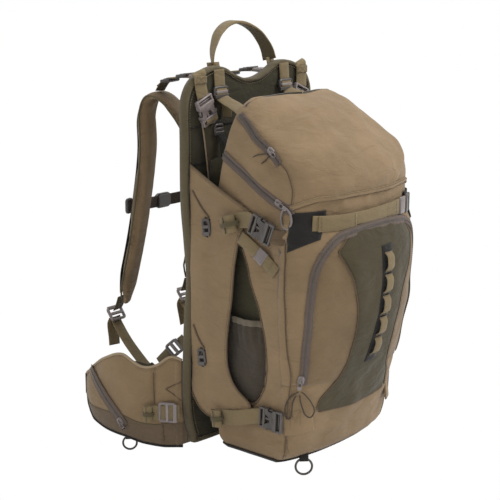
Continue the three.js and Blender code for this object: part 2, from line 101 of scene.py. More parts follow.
def math_node(tree, operation, first, second):
    made = node(tree, "ShaderNodeMath", operation=operation)
    for socket, value in zip(made.inputs, (first, second)):
        if isinstance(value, (int, float)):
            socket.default_value = value
        else:
            tree.links.new(value, socket)
    return made.outputs[0]


def mix_colour(tree, factor, first, second):
    made = tree.nodes.new("ShaderNodeMix")
    made.data_type = "RGBA"
    for index, value in ((0, factor), (6, first), (7, second)):
        if isinstance(value, (int, float)):
            made.inputs[index].default_value = value
        elif isinstance(value, tuple):
            made.inputs[index].default_value = (*value, 1)
        else:
            tree.links.new(value, made.inputs[index])
    return made.outputs[2]


def ramp(tree, source, low, high):
    made = node(tree, "ShaderNodeMapRange")
    made.inputs["From Min"].default_value = low
    made.inputs["From Max"].default_value = high
    tree.links.new(source, made.inputs["Value"])
    return made.outputs["Result"]


def cloth(name, colour, thread=1.1, bump=0.25, patch=0.16, wear=0.08, roughness=0.9, sheen=0.08):
    """Woven fabric: crossed threads of the given pitch in mm, soft dye patches and paler worn edges."""
    material, tree, base = shader(name, roughness, sheen, specular=0.15)
    place = node(tree, "ShaderNodeTexCoord").outputs["Object"]
    facing = node(tree, "ShaderNodeSeparateXYZ")
    tree.links.new(node(tree, "ShaderNodeNewGeometry").outputs["Normal"], facing.inputs[0])
    weave = None
    for axis, direction in enumerate("XYZ"):
        wave = node(tree, "ShaderNodeTexWave", bands_direction=direction, Scale=2 * PI / (20 * thread * MM),
                    Distortion=0.8, Detail=1.0)
        tree.links.new(place, wave.inputs["Vector"])
        turned = math_node(tree, "SUBTRACT", 1.0, math_node(tree, "POWER", facing.outputs[axis], 2.0))
        shown = math_node(tree, "MULTIPLY", wave.outputs["Fac"], math_node(tree, "POWER", turned, 2.0))
        weave = shown if weave is None else math_node(tree, "ADD", weave, shown)
    grain = node(tree, "ShaderNodeTexNoise", Scale=700.0, Detail=3.0)
    tree.links.new(place, grain.inputs["Vector"])
    blotch = node(tree, "ShaderNodeTexNoise", Scale=14.0, Detail=4.0, Roughness=0.6)
    tree.links.new(place, blotch.inputs["Vector"])
    dark = tuple(c * (1 - patch) for c in colour)
    pale = tuple(min(1, c * (1 + patch)) for c in colour)
    tone = mix_colour(tree, ramp(tree, blotch.outputs["Fac"], 0.3, 0.7), dark, pale)
    threads = ramp(tree, math_node(tree, "ADD", math_node(tree, "MULTIPLY", weave, 0.33),
                                   grain.outputs["Fac"]),
                   0.5, 1.5)
    tone = mix_colour(tree, 0.3, tone, mix_colour(tree, threads, tuple(c * 0.6 for c in colour),
                                                  tuple(min(1, c * 1.4) for c in colour)))
    edge = ramp(tree, node(tree, "ShaderNodeNewGeometry").outputs["Pointiness"], 0.515, 0.58)
    tone = mix_colour(tree, math_node(tree, "MULTIPLY", edge, wear), tone,
                      tuple(min(1, c * 1.7 + 0.02) for c in colour))
    tree.links.new(tone, base.inputs["Base Color"])
    relief = node(tree, "ShaderNodeBump", Strength=bump, Distance=0.0006)
    tree.links.new(threads, relief.inputs["Height"])
    crumple = node(tree, "ShaderNodeBump", Strength=0.75, Distance=0.006)
    stretch = node(tree, "ShaderNodeMapping", Scale=(0.65, 0.65, 1.5))
    tree.links.new(place, stretch.inputs["Vector"])
    soft = node(tree, "ShaderNodeTexNoise", Scale=38.0, Detail=3.0, Distortion=0.6)
    tree.links.new(stretch.outputs["Vector"], soft.inputs["Vector"])
    tree.links.new(soft.outputs["Fac"], crumple.inputs["Height"])
    tree.links.new(crumple.outputs["Normal"], relief.inputs["Normal"])
    tree.links.new(relief.outputs["Normal"], base.inputs["Normal"])
    return material


def plastic(name, colour, roughness=0.42, grain=0.12):
    """Moulded acetal: fine texture, faint streaks and paler rubbed edges."""
    material, tree, base = shader(name, roughness, specular=0.5)
    place = node(tree, "ShaderNodeTexCoord").outputs["Object"]
    fine = node(tree, "ShaderNodeTexNoise", Scale=900.0, Detail=2.0)
    streak = node(tree, "ShaderNodeTexNoise", Scale=60.0, Detail=3.0, Distortion=1.2)
    tree.links.new(place, fine.inputs["Vector"])
    tree.links.new(place, streak.inputs["Vector"])
    tone = mix_colour(tree, ramp(tree, streak.outputs["Fac"], 0.35, 0.7), tuple(c * 0.85 for c in colour),
                      tuple(min(1, c * 1.2) for c in colour))
    edge = ramp(tree, node(tree, "ShaderNodeNewGeometry").outputs["Pointiness"], 0.53, 0.62)
    tone = mix_colour(tree, math_node(tree, "MULTIPLY", edge, 0.5), tone,
                      tuple(min(1, c * 2 + 0.03) for c in colour))
    tree.links.new(tone, base.inputs["Base Color"])
    relief = node(tree, "ShaderNodeBump", Strength=grain, Distance=0.0003)
    tree.links.new(fine.outputs["Fac"], relief.inputs["Height"])
    tree.links.new(relief.outputs["Normal"], base.inputs["Normal"])
    rough = ramp(tree, streak.outputs["Fac"], 0.0, 1.0)
    tree.links.new(math_node(tree, "ADD", math_node(tree, "MULTIPLY", rough, 0.2), roughness - 0.1),
                   base.inputs["Roughness"])
    return material


def metal(name, colour):
    material, tree, base = shader(name, 0.35, metallic=1.0)
    place = node(tree, "ShaderNodeTexCoord").outputs["Object"]
    brushed = node(tree, "ShaderNodeTexNoise", Scale=220.0, Detail=4.0)
    tree.links.new(place, brushed.inputs["Vector"])
    tree.links.new(mix_colour(tree, brushed.outputs["Fac"], tuple(c * 0.8 for c in colour), colour),
                   base.inputs["Base Color"])
    tree.links.new(ramp(tree, brushed.outputs["Fac"], -1.5, 2.2), base.inputs["Roughness"])
    return material


TAN = cloth("tan_fabric", (0.172, 0.118, 0.066))
# The pocket door's tan is the bag's tan made darker: painted shade on the door.
SHADED_DOOR_TAN = cloth("door_fabric_painted_shade", (0.13, 0.089, 0.049))
BROWN = cloth("brown_fabric", (0.082, 0.056, 0.033))
OLIVE = cloth("olive_fabric", (0.046, 0.037, 0.02), thread=1.3, bump=0.35)
DARK_OLIVE = cloth("dark_olive_fabric", (0.03, 0.026, 0.014), thread=1.3, bump=0.35)
LINING = cloth("lining_fabric", (0.08, 0.074, 0.062), thread=0.8, bump=0.15)
KHAKI = cloth("khaki_webbing", (0.14, 0.105, 0.056), thread=2.2, bump=0.6, patch=0.08)
OLIVE_WEB = cloth("olive_webbing", (0.068, 0.054, 0.029), thread=2.2, bump=0.6, patch=0.08)
BLACK_WEB = cloth("black_webbing", (0.013, 0.012, 0.011), thread=2.2, bump=0.6, patch=0.08)
TAPE = cloth("zip_tape", (0.092, 0.07, 0.057), thread=1.0, bump=0.35, patch=0.08)
COIL = plastic("zip_coil", (0.035, 0.027, 0.022), roughness=0.5)
THREAD = cloth("thread", (0.085, 0.06, 0.036), thread=0.6, wear=0.0)
PALE_THREAD = cloth("pale_thread", (0.22, 0.165, 0.11), thread=0.6, wear=0.0)
MESH_CLOTH = cloth("mesh_fabric", (0.04, 0.032, 0.023), thread=2.6, bump=0.9)
MAUVE = plastic("mauve_plastic", (0.1, 0.082, 0.077))
BLACK = plastic("black_plastic", (0.026, 0.021, 0.018))
CORD = cloth("cord_sheath", (0.05, 0.038, 0.026), thread=0.7, bump=0.5, wear=0.0)
BINDING = cloth("binding_tape", (0.07, 0.056, 0.031), thread=1.2, bump=0.45)
PALE_WEB = cloth("grey_binding", (0.1, 0.083, 0.06), thread=1.4, bump=0.5, patch=0.08)
STRAP_FACE = cloth("strap_face_fabric", (0.118, 0.082, 0.047), thread=1.5, bump=0.5)
BELT_BASE = cloth("belt_base_fabric", (0.098, 0.07, 0.045), thread=1.2)
PALE_TAN = cloth("pale_tan_binding", (0.23, 0.175, 0.112), thread=1.2, bump=0.4)
DARK_WEB = cloth("dark_brown_webbing", (0.04, 0.029, 0.021), thread=2.2, bump=0.6, patch=0.08)
ALLOY = metal("stay_alloy", (0.62, 0.62, 0.64))


# ---- cords: loops on the zip sliders ------------------------------------------------------------
def smooth_path(points, count, closed=False):
    """Catmull-Rom curve through points, resampled to count points evenly spaced along it."""
    p = np.asarray(points, float)
    if closed:
        ext = np.vstack((p[-1], p, p[0], p[1]))
    else:
        ext = np.vstack((2 * p[0] - p[1], p, 2 * p[-1] - p[-2]))
    dense = []
    for i in range(1, len(ext) - 2):
        t = np.linspace(0, 1, 16, endpoint=False)[:, None]
        a, b, c, d = ext[i - 1], ext[i], ext[i + 1], ext[i + 2]
        dense.append(0.5 * (2 * b + (c - a) * t + (2 * a - 5 * b + 4 * c - d) * t ** 2
                            + (3 * b - a - 3 * c + d) * t ** 3))
    dense = np.vstack(dense + [ext[-2][None]])
    step = np.r_[0, np.cumsum(np.linalg.norm(np.diff(dense, axis=0), axis=1))]
    at = np.linspace(0, step[-1], count)
    return np.stack([np.interp(at, step, dense[:, k]) for k in range(p.shape[1])], 1)


LID_PULL_ROUTE = [
    (-139, -61.5, 494.8), (-139, -50, 493), (-138.6, -36, 489), (-138.6, -28, 481), (-138.8, -33, 473),
    (-138.8, -45, 476), (-138.8, -56, 484), (-139, -64.4, 491.6)]
POCKET_PULL_LEFT = [
    (-130.6, -116.8, 132.4), (-134.8, -107, 124), (-137.2, -99, 112), (-136.8, -96, 98), (-135.2, -98, 86),
    (-132.2, -103.5, 88), (-132, -105.5, 101), (-132, -107.5, 114), (-131, -112.5, 125)]
POCKET_PULL_RIGHT = [
    (-127.4, -121, 132.4), (-122, -123.5, 127), (-113.5, -125.5, 117), (-106, -126.5, 106), (-102, -126, 95),
    (-106, -122.5, 86), (-113, -117.5, 90), (-118.5, -116, 102), (-123.2, -115.8, 114),
    (-126.4, -116.4, 125.2)]


def pull_cord(name, route, diameter, cad_node, body):
    path = smooth_path(route, 32) * MM
    curve = bpy.data.curves.new(name, "CURVE")
    curve.dimensions = "3D"
    curve.bevel_depth = diameter * MM / 2
    curve.bevel_resolution = 3
    curve.use_fill_caps = True
    spline = curve.splines.new("POLY")
    spline.points.add(len(path) - 1)
    for point, place in zip(spline.points, path):
        point.co = (*place, 1)
    curve.materials.append(CORD)
    cord = bpy.data.objects.new(name, curve)
    bpy.context.scene.collection.objects.link(cord)
    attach(cord, body)
    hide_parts(cad_node)


pull_cord("lid_pull_cord", LID_PULL_ROUTE, 2.2, "lid_zip_pull", "left_lid_zip_slider")
pull_cord("pocket_pull_cord_left", POCKET_PULL_LEFT, 2.4, "pocket_zip_pull_left", "pocket_zip_slider")
pull_cord("pocket_pull_cord_right", POCKET_PULL_RIGHT, 2.4, "pocket_zip_pull_right", "pocket_zip_slider")


# ---- mesh helpers -------------------------------------------------------------------------------
def piece(name, verts, faces, materials, body="pack", slot="pack_fabric", replaces=(), picks=None,
          smooth=True, crease=None):
    """A mesh object from millimetre vertices; picks gives each face's material number."""
    mesh = bpy.data.meshes.new(name)
    mesh.from_pydata((np.asarray(verts, float) * MM).tolist(), [], [tuple(int(i) for i in f) for f in faces])
    for material in materials if isinstance(materials, (list, tuple)) else [materials]:
        mesh.materials.append(material)
    if picks is not None:
        mesh.polygons.foreach_set("material_index", [int(k) for k in picks])
    work = bmesh.new()
    work.from_mesh(mesh)
    bmesh.ops.recalc_face_normals(work, faces=work.faces)
    work.to_mesh(mesh)
    work.free()
    mesh.shade_smooth() if smooth else mesh.shade_flat()
    if crease is not None:
        mesh.set_sharp_from_angle(angle=math.radians(crease))
    made = bpy.data.objects.new(name, mesh)
    bpy.context.scene.collection.objects.link(made)
    if body:
        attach(made, body)
    if replaces:
        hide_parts(*replaces)
    return made


def unit(v):
    v = np.asarray(v, float)
    return v / np.maximum(np.linalg.norm(v, axis=-1, keepdims=True), 1e-9)


def grid_normals(grid, wrap=False):
    if wrap:
        across = np.roll(grid, -1, 1) - np.roll(grid, 1, 1)
    else:
        across = np.gradient(grid, axis=1)
    return unit(np.cross(across, np.gradient(grid, axis=0)))


def across_of(p, n):
    """Directions across a path on the cloth, from its points and normals."""
    return unit(np.cross(n, unit(np.gradient(p, axis=0))))


def lined(tags):
    """Material numbers for a slab: 1 on its inner face, 0 elsewhere."""
    return [1 if tag[0] == 1 else 0 for tag in tags]


def slab(grid, thick, wrap=False):
    """Closed skin: the grid is its outer face, with a second face thick behind it.

    A face's tag is its kind (0 outer, 1 inner, 2 edge), row and column.
    """
    rows, cols = grid.shape[:2]
    inner = grid - grid_normals(grid, wrap) * thick
    verts = np.vstack((grid.reshape(-1, 3), inner.reshape(-1, 3)))
    back = rows * cols
    faces, tags = [], []
    spans = cols if wrap else cols - 1
    for i in range(rows - 1):
        for j in range(spans):
            a, b = i * cols + j, i * cols + (j + 1) % cols
            faces.append((a, b, b + cols, a + cols))
            faces.append((back + a, back + a + cols, back + b + cols, back + b))
            tags += [(0, i, j), (1, i, j)]
    for i, flip in ((0, 1), (rows - 1, 0)):
        for j in range(spans):
            a, b = i * cols + j, i * cols + (j + 1) % cols
            faces.append((a, b, back + b, back + a) if not flip else (b, a, back + a, back + b))
            tags.append((2, i, j))
    if not wrap:
        for j, flip in ((0, 0), (cols - 1, 1)):
            for i in range(rows - 1):
                a, b = i * cols + j, (i + 1) * cols + j
                faces.append((a, b, back + b, back + a) if not flip else (b, a, back + a, back + b))
                tags.append((2, i, j))
    return verts, faces, tags


def sweep(path, across, section, closed=False, scale=None):
    """Carries a section (u across, v along the normal) along a path, closed at both ends."""
    path = np.asarray(path, float)
    tangent = unit(np.roll(path, -1, 0) - np.roll(path, 1, 0)) if closed else unit(np.gradient(path, axis=0))
    across = np.broadcast_to(np.asarray(across, float), path.shape)
    across = unit(across - tangent * np.sum(across * tangent, 1, keepdims=True))
    normal = np.cross(tangent, across)
    section = np.asarray(section, float)
    if scale is None:
        scale = np.ones((len(path), 2))
    scale = np.asarray(scale, float)
    verts = (path[:, None] + across[:, None] * (section[None, :, :1] * scale[:, None, :1])
             + normal[:, None] * (section[None, :, 1:] * scale[:, None, 1:]))
    n, m = len(path), len(section)
    faces = []
    for i in range(n if closed else n - 1):
        for j in range(m):
            a, b = i * m + j, i * m + (j + 1) % m
            c, d = ((i + 1) % n) * m + (j + 1) % m, ((i + 1) % n) * m + j
            faces.append((a, b, c, d))
    if not closed:
        faces.append(tuple(range(m))[::-1])
        faces.append(tuple((n - 1) * m + j for j in range(m)))
    return verts.reshape(-1, 3), faces


def flat_section(width, thick):
    """Webbing section with softly rounded edges."""
    w, t = width / 2, thick / 2
    e = min(w, t) * 0.6
    return [(-w, -t + e), (-w + e, -t), (-w / 3, -t), (w / 3, -t), (w - e, -t), (w, -t + e), (w, t - e),
            (w - e, t),
            (w / 3, t), (-w / 3, t), (-w + e, t), (-w, t - e)]


def round_section(radius, sides=8):
    return [(radius * math.cos(2 * PI * k / sides), radius * math.sin(2 * PI * k / sides))
            for k in range(sides)]


def joined(parts):
    """Several (verts, faces) as one."""
    verts, faces, start = [], [], 0
    for part_verts, part_faces in parts:
        verts.append(np.asarray(part_verts, float))
        faces += [tuple(i + start for i in f) for f in part_faces]
        start += len(part_verts)
    return np.vstack(verts), faces


def tube(path, radius, sides=8, closed=False, count=None):
    path = smooth_path(path, count or 6 * len(path), closed) if count != 0 else np.asarray(path, float)
    if closed:
        path = path[:-1]
    reference = np.array((0.31, 0.52, 0.79))
    return sweep(path, reference, round_section(radius, sides), closed)


def stitches(path, normals, pitch=3.6, length=2.5, radius=0.38, lift=0.25):
    """A row of separate thread stitches lying along a path."""
    path = np.asarray(path, float)
    step = np.r_[0, np.cumsum(np.linalg.norm(np.diff(path, axis=0), axis=1))]
    normals = np.broadcast_to(np.asarray(normals, float), path.shape)
    count = max(1, int(step[-1] / pitch))
    parts = []
    for k in range(count):
        ends = []
        for along in (k * pitch + 0.4, k * pitch + 0.4 + length):
            point = np.array([np.interp(along, step, path[:, i]) for i in range(3)])
            normal = np.array([np.interp(along, step, normals[:, i]) for i in range(3)])
            ends.append((point, unit(normal)))
        (a, na), (b, _) = ends
        axis = unit(b - a)
        side = unit(np.cross(axis, na)) * radius
        top = unit(np.cross(side, axis)) * radius
        mid = (a + b) / 2 + na * lift
        ring = [mid + side, mid + top, mid - side, mid - top]
        verts = [a - na * 0.2, *[r - axis * length * 0.25 for r in ring],
                 *[r + axis * length * 0.25 for r in ring],
                 b - na * 0.2]
        faces = [(0, 1 + j, 1 + (j + 1) % 4) for j in range(4)]
        faces += [(1 + j, 5 + j, 5 + (j + 1) % 4, 1 + (j + 1) % 4) for j in range(4)]
        faces += [(9, 5 + (j + 1) % 4, 5 + j) for j in range(4)]
        parts.append((np.array(verts), faces))
    return joined(parts)


# ---- the bag's form -----------------------------------------------------------------------------
# Height: rear plane, half width, start of the rounded front, depth of that front.
SECTIONS = (
    (0, 50, 116, 58, 22), (14, 56, 130, 80, 28), (60, 58, 133, 85, 36), (108, 58, 134, 88, 45),
    (166, 58, 140, 100, 52), (243, 58, 145, 107, 66), (310, 58, 145, 108, 72), (360, 57, 145, 107, 68),
    (395, 54, 143, 103, 58), (430, 46, 141, 101, 56), (450, 42, 139, 100, 62), (480, 36, 136, 97, 50),
    (517, 30, 132, 52, 50), (543, 26, 120, 0, 78), (558, 24, 110, -12, 66), (567, 18, 88, -12, 34))
TOP = 567
CORNER = 14
LEVELS = np.arange(0, TOP + 1)


def level_table():
    heights = [row[0] for row in SECTIONS]
    kernel = np.exp(-0.5 * (np.arange(-18, 19) / 7.0) ** 2)
    kernel /= kernel.sum()
    columns = []
    for k in range(1, 5):
        values = np.interp(LEVELS, heights, [row[k] for row in SECTIONS])
        low = 2 * values[0] - values[18:0:-1]
        high = 2 * values[-1] - values[-2:-20:-1]
        columns.append(np.convolve(np.r_[low, values, high], kernel, "valid"))
    return columns


LEVEL_TABLE = level_table()


def level(z):
    return [np.interp(z, LEVELS, column) for column in LEVEL_TABLE]


def form(q, z):
    """Point on the plain form; q runs round it: +-1 ends the rounded front, +-2 the sides, +-3 the rear."""
    q, z = np.broadcast_arrays(np.asarray(q, float), np.asarray(z, float))
    rear, half, side, crown = level(z)
    a, sign = np.abs(q), np.where(q < 0, -1.0, 1.0)
    angle = (q + 1) * PI / 2
    turn = np.clip((a - 2) / 0.2, 0, 1) * PI / 2
    share = np.clip((a - 2.2) / 0.8, 0, 1)
    x = np.where(a <= 1, -half * np.cos(angle), sign * half)
    y = np.where(a <= 1, -side - crown * np.sin(angle), -side + (a - 1) * (rear - CORNER + side))
    x = np.where(a > 2, sign * (half - CORNER + CORNER * np.cos(turn)) * (1 - share), x)
    y = np.where(a > 2, rear - CORNER + CORNER * np.sin(turn), y)
    return np.stack((x, y, z), -1)


def form_normal(q, z):
    dq, dz = 0.01, 2.0
    across = form(q + dq, z) - form(q - dq, z)
    up = form(q, np.minimum(z + dz, TOP)) - form(q, np.maximum(z - dz, 0))
    return unit(np.cross(across, up))


def q_front(x, z):
    half = level(z)[1]
    return 2 / PI * np.arccos(np.clip(-np.asarray(x, float) / half, -1, 1)) - 1


def q_side(y, z, sign=-1):
    rear, _, side, crown = level(z)
    y = np.asarray(y, float)
    on_side = -1 - (y + side) / (rear - CORNER + side)
    on_front = -1 + 2 / PI * np.arcsin(np.clip((-y - side) / crown, 0, 1))
    return -sign * np.where(y > -side, on_side, on_front)


def fade(value, low, high):
    t = np.clip((value - low) / (high - low), 0, 1)
    return t * t * (3 - 2 * t)


# Front edge of the open pocket window in each side: height and Y.
WINDOW = ((88, -10), (93, -28), (109, -42), (129, -54), (151, -60), (176, -62), (199, -60), (222, -56),
          (250, -50),
          (275, -40), (300, -30), (324, -22), (345, -12), (352, 0))
RECESS_DEPTH = 14.0


def recess(y, z):
    edge = np.interp(z, [w[0] for w in WINDOW], [w[1] for w in WINDOW])
    return fade(y - edge, -1.0, 5.0) * fade(z, 90, 97) * (1 - fade(z, 340, 350))


# Folds in the cloth: both ends along the side (Y, Z) or front (X, Z), width and height.
SIDE_FOLDS = (
    ((-76, 380), (-112, 372), 7, 4.0), ((-76, 372), (-104, 352), 6, 3.2), ((-74, 366), (-90, 330), 6, 2.6),
    ((-84, 388), (-122, 392), 5, 3.0), ((-70, 362), (-60, 318), 7, -2.4), ((-100, 340), (-96, 262), 10, 2.4),
    ((-88, 250), (-84, 172), 9, 1.8), ((-66, 96), (-96, 140), 7, 2.6), ((-72, 108), (-100, 176), 9, -1.6),
    ((-20, 52), (-94, 58), 8, 2.8), ((-30, 30), (-104, 34), 9, 2.2), ((10, 46), (-60, 22), 7, -1.8),
    ((10, 474), (-70, 446), 8, 2.2), ((22, 506), (-44, 470), 7, 2.6), ((-58, 470), (-96, 436), 8, 2.8),
    ((-62, 482), (-100, 462), 6, -2.2), ((-30, 482), (-70, 462), 5, 2.0), ((8, 528), (-40, 500), 8, 2.4),
    ((-10, 420), (-64, 402), 7, 2.2), ((14, 440), (-30, 424), 6, 1.8))
FRONT_FOLDS = (
    ((-112, 60), (-20, 46), 10, 2.6), ((-96, 36), (10, 24), 9, 2.0), ((40, 70), (112, 92), 10, 2.2),
    ((-20, 96), (70, 104), 12, 1.6), ((60, 40), (120, 52), 8, -1.8),
    ((-118, 430), (-60, 446), 8, 2.8), ((-80, 440), (0, 470), 10, 2.4), ((-20, 442), (60, 466), 9, 2.6),
    ((40, 438), (100, 470), 8, 3.4), ((70, 436), (122, 456), 7, -2.4), ((88, 450), (124, 492), 8, 2.8),
    ((-100, 486), (-30, 508), 12, 2.0), ((-40, 500), (60, 520), 14, 2.2), ((30, 496), (104, 516), 10, 2.4),
    ((-70, 414), (-66, 428), 5, 2.0), ((-20, 414), (-14, 428), 5, 1.8), ((36, 414), (44, 428), 5, 2.0),
    ((84, 410), (92, 426), 5, 2.0))


def folds(u, z, table):
    total = np.zeros_like(u)
    for (u0, z0), (u1, z1), width, height in table:
        du, dz = u1 - u0, z1 - z0
        length = math.hypot(du, dz)
        t = ((u - u0) * du + (z - z0) * dz) / length ** 2
        off = ((u - u0) * dz - (z - z0) * du) / length
        off = off + 0.12 * length * (np.clip(t, 0, 1) - 0.5) ** 2
        total += height * np.exp(-(off / width) ** 2) * fade(t, -0.25, 0.25) * (1 - fade(t, 0.75, 1.25))
    return total


def ripple(p, scale, seed):
    """Soft noise over points, the same on every run."""
    flat = np.asarray(p, float).reshape(-1, 3)
    values = [noise.noise(Vector((a * scale + seed, b * scale, c * scale * 0.7))) for a, b, c in flat]
    return np.array(values).reshape(np.shape(p)[:-1])


def relief(q, z, p):
    x, y = p[..., 0], p[..., 1]
    a = np.abs(q)
    side = fade(a, 0.72, 0.95)
    shift = np.where(q < 0, 0, 7)
    lumps = folds(y + shift, z - shift, SIDE_FOLDS) * side * (1 - fade(a, 1.9, 2.1))
    front = folds(x, z, FRONT_FOLDS) * (1 - side)
    belly = 2.0 * np.sin(np.clip((z - 100) / 240, 0, 1) * PI) * side * (1 - fade(a, 1.6, 2.0))
    rise = (ripple(p, 0.014, 3.0) * 3.6 + ripple(p, 0.04, 9.0) * 1.7) * (1 - 0.7 * fade(a, 2.0, 2.3))
    rise = rise * fade(z, 0, 16)
    sunk = -RECESS_DEPTH * recess(y, z) * fade(a, 0.9, 1.02)
    calm = 1 - 0.8 * recess(y, z)
    return (lumps + front + belly + rise) * calm + sunk


def skin(q, z, lift=0.0):
    """Point on the cloth as it lies, lift above it, and the form's outward normal there."""
    q, z = np.broadcast_arrays(np.asarray(q, float), np.asarray(z, float))
    p = form(q, z)
    n = form_normal(q, z)
    height = relief(q, z, p) + lift
    return p + n * np.asarray(height)[..., None], n


def along_skin(points, count, lift=0.0):
    """Dense path on the cloth through (q, z) points: places, normals and directions across."""
    path = smooth_path(points, count)
    p, n = skin(path[:, 0], path[:, 1], lift)
    p = smooth_rows(p)
    across = across_of(p, n)
    return p, n, across


def smooth_rows(p):
    q = p.copy()
    q[1:-1] = (p[:-2] + 2 * p[1:-1] + p[2:]) / 4
    return q


def rim_line(y):
    """Height of the edge where the lid meets the bag, seen from the side."""
    line = np.where(y > -106, 416 + 0.5035 * (y + 106), np.interp(-y, (106, 137, 240), (416, 431, 433)))
    return line - 5.0 * np.exp(-((y + 65) / 30) ** 2)


def rim_height(q):
    z = np.full(np.shape(q), 430.0)
    for _ in range(14):
        z = 0.5 * z + 0.5 * np.minimum(rim_line(form(q, z)[..., 1]), 505)
    return z


def round_bag(rear=7, corner=5, side=34, front=90):
    """q values once round the bag, from the middle of the rear."""
    half = np.r_[np.linspace(0, 1, front // 2 + 1)[:-1], np.linspace(1, 2, side + 1)[:-1],
                 np.linspace(2, 2.2, corner + 1)[:-1], np.linspace(2.2, 3, rear + 1)[:-1]]
    return np.r_[-3.0, -half[:0:-1], half]


# ---- bag shell, lid and front skins -------------------------------------------------------------
POCKET_WALL = -94.0
POCKET_TOP = 384.0
SEAM_Y = -92.0


def bag_shell():
    q = round_bag()
    rim = rim_height(q)
    rows = 92
    z = (np.arange(rows) / (rows - 1))[:, None] * (rim[None] - 1.0)
    p, _ = skin(np.broadcast_to(q, z.shape), z)
    open_front = (z < POCKET_TOP) & (np.abs(q)[None] < 1.2)
    p[..., 1] = np.where(open_front, np.maximum(p[..., 1], POCKET_WALL), p[..., 1])
    base = [np.array((0, -12, 1.5)) + (p[0] - np.array((0, -12, 0))) * (s, s, 0) for s in (0.02, 0.35, 0.7,
                                                                                           0.92)]
    grid = np.concatenate((np.stack(base), p))
    verts, faces, tags = slab(grid, 3.0, wrap=True)
    window = recess(p[..., 1], z) * (np.abs(q)[None] > 0.9)
    picks = []
    for kind, i, j in tags:
        row = i - len(base)
        if kind:
            picks.append(1)
        elif row >= 0 and window[row, j] > 0.6:
            picks.append(2)
        elif abs(q[j]) > 2.15:
            picks.append(3)
        else:
            picks.append(0)
    piece("bag_shell", verts, faces, (TAN, LINING, DARK_OLIVE, OLIVE), replaces=("main_bag",), picks=picks)


def lid_hood():
    q = round_bag()
    rim = rim_height(q) + 0.6
    rows = 44
    z = rim[None] + (np.arange(rows) / (rows - 1))[:, None] * (TOP - rim[None])
    p, _ = skin(np.broadcast_to(q, z.shape), z, lift=1.2)
    middle = np.array((0, -16, TOP + 3.0))
    crown = []
    for s in (0.9, 0.75, 0.55, 0.32, 0.02):
        ring = middle + (p[-1] - middle) * (s, s, s * s)
        ring[:, 2] += ripple(ring, 0.016, 5.0) * 4.0 * (1 - s)
        crown.append(ring)
    grid = np.concatenate((p, np.stack(crown)))
    grid[rows - 2:rows + 1] = (np.roll(grid, 1, 0) + 2 * grid + np.roll(grid, -1, 0))[rows - 2:rows + 1] / 4
    verts, faces, tags = slab(grid, 3.0, wrap=True)
    piece("lid_hood", verts, faces, (TAN, LINING), "lid", replaces=("lid",),
          picks=[1 if t[0] else 0 for t in tags])


DOOR_FOOT = 142.0
DOOR_TOP = 376.0


def door_half(z):
    upright = np.interp(z, (142, 200, 255, 298), (122, 128, 131, 129))
    arch = 70 + 59 * np.sqrt(np.clip(1 - ((np.asarray(z, float) - 298) / 78) ** 2, 0, 1))
    return np.where(np.asarray(z) > 298, arch, upright)


def door_edge(count=120):
    """The door's outline as (x, z): up the left side, over the arch and down the right."""
    z = np.r_[np.linspace(DOOR_FOOT, 298, 16), 298 + 78 * np.sin(np.linspace(0.06, 1, 18) * PI / 2)]
    left = [(-float(door_half(h)), h) for h in z]
    top = [(x, DOOR_TOP + dome(x)) for x in np.linspace(-56, 56, 9)]
    return smooth_path(left + top + [(-x, h) for x, h in left[::-1]], count)


def dome(x):
    return 5.0 * np.clip(1 - (np.asarray(x, float) / 72) ** 2, 0, 1)


def on_door(made):
    """Bakes the piece's place into its mesh; it is not attached to the door."""
    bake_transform(made)


def door_lift(x, z):
    """The stuffed pocket stands a little proud inside its zip."""
    inside = np.clip(1 - (np.abs(x) / (door_half(z) + 0.1)) ** 4, 0, 1)
    return 0.7 + 2.4 * inside * fade(z, 120, 200) * (1 - fade(z, 340, 384))


def door_skin():
    v = np.linspace(0, 1, 60)[:, None]
    u = np.linspace(-1, 1, 70)[None]
    z = DOOR_FOOT - 2 + v * (DOOR_TOP - DOOR_FOOT + 2)
    x = u * door_half(z)
    z = z + dome(x) * fade(z, 340, DOOR_TOP)
    p, _ = skin(q_front(x, z), z, door_lift(x, z))
    verts, faces, tags = slab(p, 2.6)
    # The door takes the darker tan, painted shade.
    made = piece("door_skin", verts, faces, (SHADED_DOOR_TAN, LINING), body=None, replaces=("pocket_door",),
                 picks=lined(tags))
    on_door(made)


# Half width of the olive leaf down the middle of the door, and how far its left edge swings out below.
LEAF = ((88, 84), (96, 90), (112, 88), (128, 75), (144, 62), (170, 55), (206, 52), (240, 54), (265, 58),
        (292, 66),
        (315, 75), (335, 85), (352, 95), (362, 84), (372, 74), (376, 68))


def leaf_half(z):
    return np.interp(z, [row[0] for row in LEAF], [row[1] for row in LEAF])


